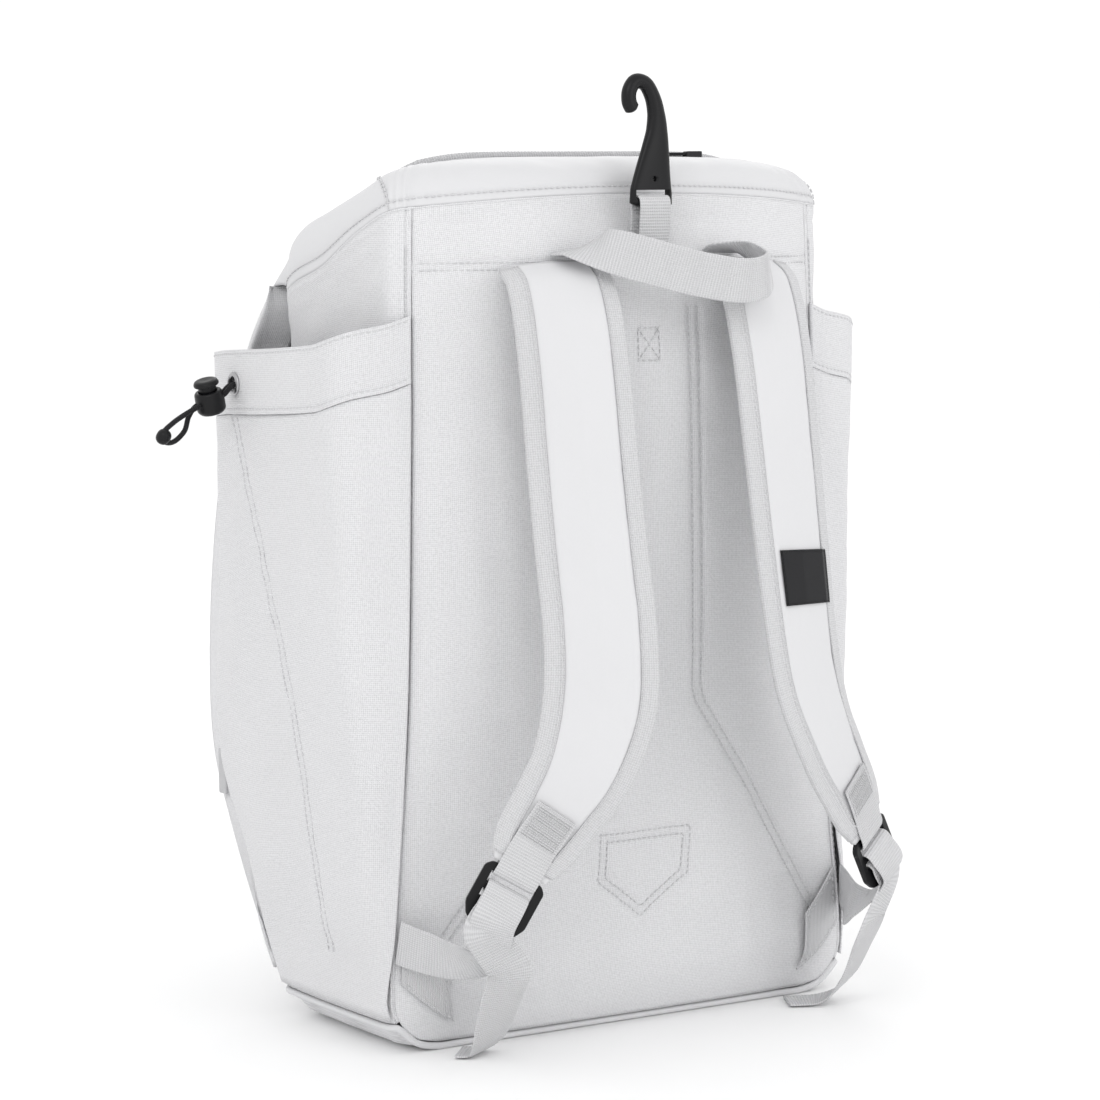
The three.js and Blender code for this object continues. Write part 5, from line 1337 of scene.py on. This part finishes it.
def strap_binding(name, sign):
    """Woven cloth folded over the edges of a strap, as one piece for each edge."""
    t = np.linspace(0.005, 0.985, 160)
    built = []
    for edge in (-1, 1):
        wide = STRAP_WIDTH * strap_row(t, "wide") / 2
        cover = 1 - 9.5 / wide
        turn = np.linspace(0, 1, 6)
        shares = [edge * mix(cover, 1.0, q) for q in turn]
        lifts = [0.75 - 0.2 * q for q in turn]
        at, _, across, face = strap_frame(t)
        tip = at + (edge * (wide + 1.2))[:, None] * across
        outer = [strap_point(share, t, 1, lift) for share, lift in zip(shares, lifts)]
        outer += [tip + 0.9 * face, tip - 0.9 * face]
        outer += [strap_point(share, t, -1, lift) for share, lift in zip(shares[::-1], lifts[::-1])]
        inner = [strap_point(share, t, -1, 0.05) for share in shares]
        inner += [strap_point(share, t, 1, 0.05) for share in shares[::-1]]
        loops = np.stack(outer + inner, 1)
        place = "outer" if edge > 0 else "inner"
        built.append(loops_object(f"{name}_{place}", mirror(loops, sign), BINDING_MATERIAL))
        row = strap_point(edge * (1 - 8.0 / wide), t, -1, 0.85)
        stitch("straps", [mirror(row, sign)])
    for piece in built:
        settle(piece, ())


both_sides(strap, "shoulder_strap")
both_sides(strap_binding, "strap_binding")

# The ladder lock's own frame starts at the strap's end: a across, d down the strap, n towards the bag
LOCK_HALF = 17.5
LOCK_ROWS = (2, 3.5, 7.5, 3, 5.5, 14)
FIRST = LOCK_ROWS[0] + LOCK_ROWS[1]
SECOND = FIRST + LOCK_ROWS[2]
THIRD = SECOND + LOCK_ROWS[3] + LOCK_ROWS[4]
LOCK_FOOT = THIRD + LOCK_ROWS[5]
LOCK_THICK = 3.2
OFF_LOCK = LOCK_THICK / 2 + SEAM_GAP + WEBBING_THICK / 2 + 0.3


def lock_place(d, n, a=0.0):
    at, along, across, face = strap_frame(1.0)
    return at + d * along + n * face + a * across


def route(points, across, spans):
    total = len(points) - 1
    t = np.linspace(0, 1, total * spans + 1)
    line = spline(np.array(points, float), t)
    across = np.array(across, float)
    i = np.minimum((t * total).astype(int), total - 1)
    w = (t * total - i)[:, None]
    return line, across[i] * (1 - w) + across[i + 1] * w


def strap_end(name, sign):
    """Webbing sewn on the strap's end and folded through the ladder lock."""
    def lie(t):
        at, _, _, face = strap_frame(t)
        high = (STRAP_EDGE + (STRAP_THICK - STRAP_EDGE) * strap_thinning(t)) / 2
        return at - face * (high + SEAM_GAP + WEBBING_THICK / 2 + 0.2)

    bend = OFF_LOCK
    at = (0.865, 0.9, 0.94, 0.98)
    points = [lie(t) for t in at] + [
        lock_place(FIRST - 1.5, -bend - 0.4), lock_place(FIRST + 1.4, 1.2 - bend), lock_place(FIRST + 1.7, 0),
        lock_place(FIRST + 1.4, bend - 1.2), lock_place(FIRST - 2, bend), lock_place(-4, bend + 0.4),
        lock_place(-11, bend + 1.2)]
    across = [strap_frame(at[min(i, 3)] if i < 4 else 1.0)[2] for i in range(len(points))]
    line, ways = route(points, across, 14)
    line, ways = mirror(line, sign), mirror(ways, sign)
    strip = webbing_strip(name, line, ways, WEBBING, WEBBING_THICK, WEBBING_MATERIAL)
    settle(strip, name)
    tack = []
    for k in range(15):
        t = 0.872 + 0.0045 * k
        ends = []
        for way in (1, -1):
            _, _, across_at, face_at = strap_frame(t + (0.002 if way > 0 else 0))
            ends.append(lie(t) + across_at * way * (WEBBING / 2 - 1.8) - face_at * (WEBBING_THICK / 2 + 0.3))
        tack.append(np.array(ends if k % 2 else ends[::-1]))
    stitch("tacks", [mirror(evenly(np.concatenate(tack), 0.6), sign)], "tack")


LOWER_START = [(150.3, -4.4, 64), (144, -19, 61), (134, -38, 58), (128, -56, 62)]
TAILS = {
    1: [(125, -72, 57, 24), (127, -58, 38, 28), (127, -44, 18, 34), (123, -33, 6, 44), (117, -27, 2.2, 56),
        (109, -22, 1.4, 62), (101, -18, 1.4, 62)],
    -1: [(118, -69, 56, 16), (115, -56, 38, 6), (112, -42, 20, -6), (110.5, -32, 8, -20),
         (112, -26, 2.6, -34), (116, -21, 1.4, -44), (120.5, -17, 1.4, -46)]}


def lower_webbing(name, sign):
    near = OFF_LOCK
    far = near + 2.6
    threaded = [(THIRD + 9, -far - 2.2), (SECOND + 4.5, -far), (SECOND - 0.6, -near - 0.4), (SECOND - 1.9, 0),
                (SECOND - 0.9, near - 0.6), (SECOND + 1.5, near), (SECOND + 3.9, near - 0.6),
                (SECOND + 4.8, -0.2), (THIRD - 1.2, -near - 0.3), (THIRD + 4, -near - 0.6),
                (THIRD + 15, -near - 0.4)]
    tail = TAILS[sign]
    points = list(LOWER_START) + [lock_place(d, n) for d, n in threaded] + [row[:3] for row in tail]
    across = [(0, 0.02, 1), (0.15, 0.1, 1), (0.45, 0.15, 0.8), (0.8, 0.2, 0.55)]
    across += [strap_frame(1.0)[2]] * len(threaded)
    across += [(math.cos(math.radians(row[3])), math.sin(math.radians(row[3])), 0) for row in tail]
    line, ways = route(points, across, 12)
    line, ways = mirror(line, sign), mirror(ways, sign)
    strip = webbing_strip(name, line, ways, WEBBING, WEBBING_THICK, WEBBING_MATERIAL)
    settle(strip, name)


def anchor(name, sign):
    s = np.linspace(0, 1, 40)[:, None]
    t = np.linspace(0, 1, 50)[None, :]
    z = mix(40, 74, t) - 24 * s
    x = seam_half(z) - 3 - 27 * s
    grid = point(x, back_face(x, z) - SEAM_GAP - WEBBING_THICK - 0.3, z)
    patch = cloth(name, mirror(grid, sign), WEBBING_MATERIAL, WEBBING_THICK)
    border = [grid[2:-2, 3], grid[2:-2, -4], grid[3, 2:-2], grid[-4, 2:-2]]
    stitch("back", [mirror(line + (0, -0.15, 0), sign) for line in border])
    settle(patch, name)


def ladder_lock(name, sign):
    """Flat moulded buckle with two slots, soft edges and a ribbed foot."""
    half, foot = LOCK_HALF, LOCK_FOOT
    outline = [(-half + 3, 2), (half - 3, 2), (half, 5), (half, foot - 9), (half - 3.5, foot - 2.6),
               (half - 10, foot), (-half + 10, foot), (-half + 3.5, foot - 2.6), (-half, foot - 9),
               (-half, 5)]
    curve = bpy.data.curves.new(name, "CURVE")
    curve.dimensions = "2D"
    curve.fill_mode = "BOTH"
    curve.extrude = (LOCK_THICK / 2 - 0.7) * MM
    curve.bevel_depth = 0.7 * MM
    curve.bevel_resolution = 4
    windows = [[(-14, a), (14, a), (14, b), (-14, b)] for a, b in ((FIRST, SECOND), (SECOND + 3, THIRD))]
    for shape, soft in ((outline, 1.4), *((w, 0.9) for w in windows)):
        shape = shape + shape[:1]
        ring = np.array(shape, float)
        corners = []
        for k in range(len(ring) - 1):
            a, b, c = ring[k - 1 if k else len(ring) - 2], ring[k], ring[k + 1]
            r = min(soft, np.linalg.norm(a - b) / 2.5, np.linalg.norm(c - b) / 2.5)
            p, q = b + unit(a - b) * r, b + unit(c - b) * r
            corners += [p * (1 - t) ** 2 + 2 * b * t * (1 - t) + q * t * t for t in np.linspace(0, 1, 5)]
        path = curve.splines.new("POLY")
        path.points.add(len(corners) - 1)
        for spot, (x, y) in zip(path.points, corners):
            spot.co = (x * MM, y * MM, 0, 1)
        path.use_cyclic_u = True
    holder = bpy.data.objects.new(name, curve)
    bpy.context.scene.collection.objects.link(holder)
    bpy.context.view_layer.update()
    graph = bpy.context.evaluated_depsgraph_get()
    mesh = bpy.data.meshes.new_from_object(holder.evaluated_get(graph), depsgraph=graph)
    bpy.data.objects.remove(holder)
    flat = np.zeros(len(mesh.vertices) * 3)
    mesh.vertices.foreach_get("co", flat)
    flat = flat.reshape(-1, 3) / MM
    at, along, across, face = strap_frame(1.0)
    spots = at + flat[:, :1] * across + flat[:, 1:2] * along + flat[:, 2:] * face
    mesh.vertices.foreach_set("co", framed(mirror(spots, sign)).astype(np.float32).ravel())
    if sign < 0:
        mesh.flip_normals()
    mesh.materials.clear()
    mesh.materials.append(PLASTIC_MATERIAL)
    obj = bpy.data.objects.new(name, mesh)
    bpy.context.scene.collection.objects.link(obj)
    settle(obj, name)
    lines = []
    for d in (foot - 10.5, foot - 8, foot - 5.5):
        ridge = [lock_place(d, -LOCK_THICK / 2 - 0.05, a) for a in np.linspace(-11, 11, 40)]
        lines.append(mirror(ridge, sign))
    for k, line in enumerate(lines):
        rib = tube(f"lock_rib_{k}_{name.split('_')[-1]}", line, 0.55, 8, PLASTIC_MATERIAL, start=(0, 0, 1))
        settle(rib, ())


both_sides(strap_end, "strap_end_webbing")
both_sides(lower_webbing, "lower_webbing")
both_sides(anchor, "anchor_tab")
both_sides(ladder_lock, "ladder_lock")


# Bare label on the right strap: its width and length in mm, and its share of the way down
LABEL_SIZE = (43, 28)
LABEL_AT = 0.508


def strap_label():
    length = arc(strap_middle(np.linspace(0, 1, 200)))[-1]
    s = np.linspace(-1, 1, 40)[:, None]
    r = np.linspace(-1, 1, 30)[None, :]
    along = LABEL_AT + r * LABEL_SIZE[1] / 2 / length
    share = (s * LABEL_SIZE[0] + 8) / STRAP_WIDTH
    at, _, across, face = strap_frame(np.broadcast_to(along, (40, 30)))
    high = (STRAP_EDGE + (STRAP_THICK - STRAP_EDGE) * strap_fill(share)) / 2 + SEAM_GAP + 0.8
    high = np.broadcast_to(high, (40, 30)) + 0.25 - 0.15 * (np.abs(r) ** 8)
    grid = at + (share * STRAP_WIDTH / 2)[..., None] * across - high[..., None] * face
    settle(cloth("strap_label", grid, LABEL_MATERIAL, 0.7, (0, 110, 300)), "strap_label")
    border = [grid[1:-1, 1], grid[1:-1, -2], grid[1, 1:-1], grid[-2, 1:-1]]
    stitch("label", [line + (0, -0.1, 0) for line in border], "fine")


strap_label()

# Grab handle and fence hook
HANDLE_UP = BODY_HEIGHT - 27
HANDLE_ROUTE = [
    (-50, -41, 2.5, 76, 0), (-44, -56, 2.5, 44, 4), (-24, -70, -4, 12, 10), (4, -80, -12, 0, 13),
    (33, -84, -16, 0, 12), (54, -74, -12, -10, 8), (58, -57, -3, -44, 4), (50.5, -40, 1.5, -78, 0)]


def grab_handle():
    seat = float(back_face(50 - WEBBING / 2, HANDLE_UP)) - SEAM_GAP
    rows = [(-50, seat, 0, 88, 0), *HANDLE_ROUTE, (50, seat, 0, -88, 0)]
    points = [(x, y, HANDLE_UP + up) for x, y, up, _, _ in rows]
    across = []
    for _, _, _, twist, lean in rows:
        a, b = math.radians(twist), math.radians(lean)
        across.append((math.sin(a), -math.sin(b) * math.cos(a), math.cos(b) * math.cos(a)))
    line, ways = route(points, across, 24)
    handle = webbing_strip("grab_handle", line, ways, WEBBING, 1.8, WEBBING_MATERIAL, 1.9, 0.2)
    settle(handle, "grab_handle")


grab_handle()

HOOK_ROWS = np.array([
    (0, 0, 13.5), (0.4, 9, 13.2), (1.6, 19, 11.2), (3.4, 31, 8.8), (4.6, 42, 6.6), (4.2, 52, 5.2),
    (1.8, 61, 4.5), (-3, 68, 4.2), (-9, 69, 4.2), (-13, 64, 4.2), (-13.2, 57.5, 4.3), (-10.2, 52.5, 4.2)])
HOOK_AT = np.array([-3, -42, BODY_HEIGHT - 2])
HOOK_HALF = 3.25


def fence_hook():
    t = np.linspace(0, 1, 150)
    line = spline(np.stack([HOOK_ROWS[:, 0], 0 * HOOK_ROWS[:, 0], HOOK_ROWS[:, 1]], 1), t)
    run = unit(np.gradient(line, axis=0))
    side = np.stack([run[:, 2], 0 * t, -run[:, 0]], 1)
    half = np.interp(t * 11, range(12), HOOK_ROWS[:, 2])
    thick = mix(HOOK_HALF, 4, ease(0, 0.6, t))
    end = np.minimum(1, np.sqrt(np.clip((1 - t) / 0.035, 0, 1)) + 0.02)
    start = np.minimum(1, 0.55 + np.sqrt(np.clip(t / 0.02, 0, 1)) * 0.45)
    turn = np.linspace(0, 2 * math.pi, 40, endpoint=False)
    square = mix(0.62, 1.0, ease(0.0, 0.55, t))
    c, s = np.cos(turn), np.sin(turn)
    shape_c = np.sign(c) * np.abs(c)[None, :] ** square[:, None]
    shape_s = np.sign(s) * np.abs(s)[None, :] ** square[:, None]
    shrink = (end * start)[:, None, None]
    loops = line[:, None] + shrink * (shape_c[..., None] * side[:, None] * half[:, None, None]
                                      + shape_s[..., None] * np.array([0, 1, 0]) * thick[:, None, None])
    hook = loops_object("fence_hook", loops + HOOK_AT, PLASTIC_MATERIAL)
    low, high = HOOK_AT + (-10.8, -10, 4), HOOK_AT + (11.2, 10, 9.5)
    corners = [(x, y, z) for x in (low[0], high[0]) for y in (low[1], high[1]) for z in (low[2], high[2])]
    sides = [(0, 1, 3, 2), (4, 6, 7, 5), (0, 4, 5, 1), (2, 3, 7, 6), (0, 2, 6, 4), (1, 5, 7, 3)]
    box = mesh_object("cutter", corners, sides, PLASTIC_MATERIAL, smooth=False)
    drilled = HOOK_AT + (0.9, 0, 15.5)
    hole = lathe("drill", [(1.5, -10), (1.5, 10)], drilled, (0, 1, 0.001), PLASTIC_MATERIAL, 24)
    for cutter in (box, hole):
        cut = hook.modifiers.new("cut", "BOOLEAN")
        cut.object = cutter
        cut.solver = "EXACT"
    baked(hook)
    bpy.data.objects.remove(box)
    bpy.data.objects.remove(hole)
    settle(hook, "fence_hook")


def hook_webbing():
    top = HOOK_AT[2] + 4
    front = HOOK_AT[1] - HOOK_HALF - SEAM_GAP - 0.9
    rear = HOOK_AT[1] + HOOK_HALF + SEAM_GAP + 0.9
    seat = BODY_HEIGHT - 32
    under = float(back_face(0, seat)) - SEAM_GAP - 0.9
    over = under - WEBBING_THICK - SEAM_GAP
    rows = [(over, seat), (front + 2.6, seat + 12), (front + 0.3, seat + 24), (front, top - 1),
            (front + 1.4, top + 1.6), (HOOK_AT[1], top + 1.7), (rear - 1.4, top + 1.6), (rear, top - 1),
            (rear + 0.9, seat + 20), (under, seat)]
    points = [(HOOK_AT[0] + 0.2, y, z) for y, z in rows]
    line, ways = route(points, [(1, 0, 0)] * len(points), 12)
    strip = webbing_strip("hook_webbing", line, ways, 20, WEBBING_THICK, WEBBING_MATERIAL)
    settle(strip, "hook_webbing")


fence_hook()
hook_webbing()


# Stitches: rows of small rounded threads along the kept lines
def stitch_tree():
    tree = bpy.data.node_groups.new("stitch_rows", "GeometryNodeTree")
    tree.interface.new_socket("Geometry", in_out="INPUT", socket_type="NodeSocketGeometry")
    for name, value in (("Pitch", 0.0034), ("Length", 0.0026), ("Radius", 0.00032)):
        made = tree.interface.new_socket(name, in_out="INPUT", socket_type="NodeSocketFloat")
        made.default_value = value
    tree.interface.new_socket("Thread", in_out="INPUT", socket_type="NodeSocketMaterial")
    tree.interface.new_socket("Geometry", in_out="OUTPUT", socket_type="NodeSocketGeometry")
    new, link = tree.nodes.new, tree.links.new
    gin, gout = new("NodeGroupInput"), new("NodeGroupOutput")
    curve = new("GeometryNodeMeshToCurve")
    spaced = new("GeometryNodeResampleCurve")
    stamp = new("GeometryNodeInstanceOnPoints")
    spaced.mode = "LENGTH"
    thread = new("GeometryNodeMeshUVSphere")
    thread.inputs["Segments"].default_value = 5
    thread.inputs["Rings"].default_value = 4
    thread.inputs["Radius"].default_value = 1.0
    tangent = new("GeometryNodeInputTangent")
    aim = new("FunctionNodeAlignRotationToVector")
    size = new("ShaderNodeCombineXYZ")
    aim.axis = "Z"
    half = new("ShaderNodeMath")
    half.operation = "MULTIPLY"
    half.inputs[1].default_value = 0.5
    solid = new("GeometryNodeRealizeInstances")
    paint = new("GeometryNodeSetMaterial")
    smooth = new("GeometryNodeSetShadeSmooth")
    link(gin.outputs["Geometry"], curve.inputs[0])
    link(curve.outputs[0], spaced.inputs["Curve"])
    link(gin.outputs["Pitch"], spaced.inputs["Length"])
    link(spaced.outputs[0], stamp.inputs["Points"])
    link(thread.outputs["Mesh"], stamp.inputs["Instance"])
    link(tangent.outputs[0], aim.inputs["Vector"])
    link(aim.outputs[0], stamp.inputs["Rotation"])
    link(gin.outputs["Radius"], size.inputs[0])
    link(gin.outputs["Radius"], size.inputs[1])
    link(gin.outputs["Length"], half.inputs[0])
    link(half.outputs[0], size.inputs[2])
    link(size.outputs[0], stamp.inputs["Scale"])
    link(stamp.outputs[0], solid.inputs[0])
    link(solid.outputs[0], smooth.inputs[0])
    link(smooth.outputs[0], paint.inputs["Geometry"])
    link(gin.outputs["Thread"], paint.inputs["Material"])
    link(paint.outputs[0], gout.inputs[0])
    return tree


# Each kind of stitch: its pitch, length and radius in m
STITCH_SIZES = {"seam": (0.0036, 0.0029, 0.0005), "coil": (0.0011, 0.0010, 0.0006),
                "tack": (0.0016, 0.0017, 0.0004), "fine": (0.002, 0.0016, 0.00022)}


def sew():
    tree = stitch_tree()
    sockets = {item.name: item.identifier for item in tree.interface.items_tree if item.in_out == "INPUT"}
    for (group, kind), lines in sorted(STITCHES.items()):
        mesh = bpy.data.meshes.new(f"stitches_{group}")
        points, edges = [], []
        for line in lines:
            start = len(points)
            points += framed(line).tolist()
            edges += [(start + k, start + k + 1) for k in range(len(line) - 1)]
        mesh.from_pydata(points, edges, [])
        obj = bpy.data.objects.new(f"stitches_{group}", mesh)
        bpy.context.scene.collection.objects.link(obj)
        rows = obj.modifiers.new("rows", "NODES")
        rows.node_group = tree
        for name, value in zip(("Pitch", "Length", "Radius"), STITCH_SIZES[kind]):
            rows[sockets[name]] = value
        rows[sockets["Thread"]] = {"coil": TAPE_MATERIAL, "fine": LABEL_MATERIAL}.get(kind, THREAD_MATERIAL)
        baked(obj)
        settle(obj, ())


sew()


# Floor, light and background. A light is its name, place in m, width in m and power in W.
SKY = 1.06
SOFT_LIGHTS = (("key", (-1.9, -1.9, 2.0), 1.2, 11), ("fill", (0.8, -2.5, 0.9), 1.4, 7),
               ("rear", (1.8, 2.4, 2.0), 1.6, 7))


def studio():
    bpy.ops.mesh.primitive_plane_add(size=30, location=(0, 0, -0.0002))
    floor = bpy.context.object
    floor.name = "floor"
    material, tree, shader = principled("pale_floor", (0.96, 0.96, 0.96), 0.9)
    coordinates = tree.nodes.new("ShaderNodeTexCoord")
    tone = placed(tree, MOTTLE, coordinates.outputs["Object"], size=2.0, amount=0.01, grain=0.0)
    coloured(tree, shader, tone.outputs["Tone"], (0.96, 0.96, 0.96), (0.96, 0.96, 0.96))
    floor.data.materials.append(material)
    world = bpy.data.worlds.new("studio")
    bpy.context.scene.world = world
    world.use_nodes = True
    tree = world.node_tree
    back = tree.nodes["Background"]
    back.inputs["Strength"].default_value = SKY
    back.inputs["Color"].default_value = (1, 1, 1, 1)
    for name, at, size, power in SOFT_LIGHTS:
        data = bpy.data.lights.new(name, "AREA")
        data.size = size
        data.energy = power
        light = bpy.data.objects.new(name, data)
        light.location = at
        light.rotation_euler = (Vector((0, 0, 0.25)) - Vector(at)).to_track_quat("-Z", "Y").to_euler()
        bpy.context.scene.collection.objects.link(light)
    bpy.context.scene.view_settings.view_transform = "Standard"


studio()
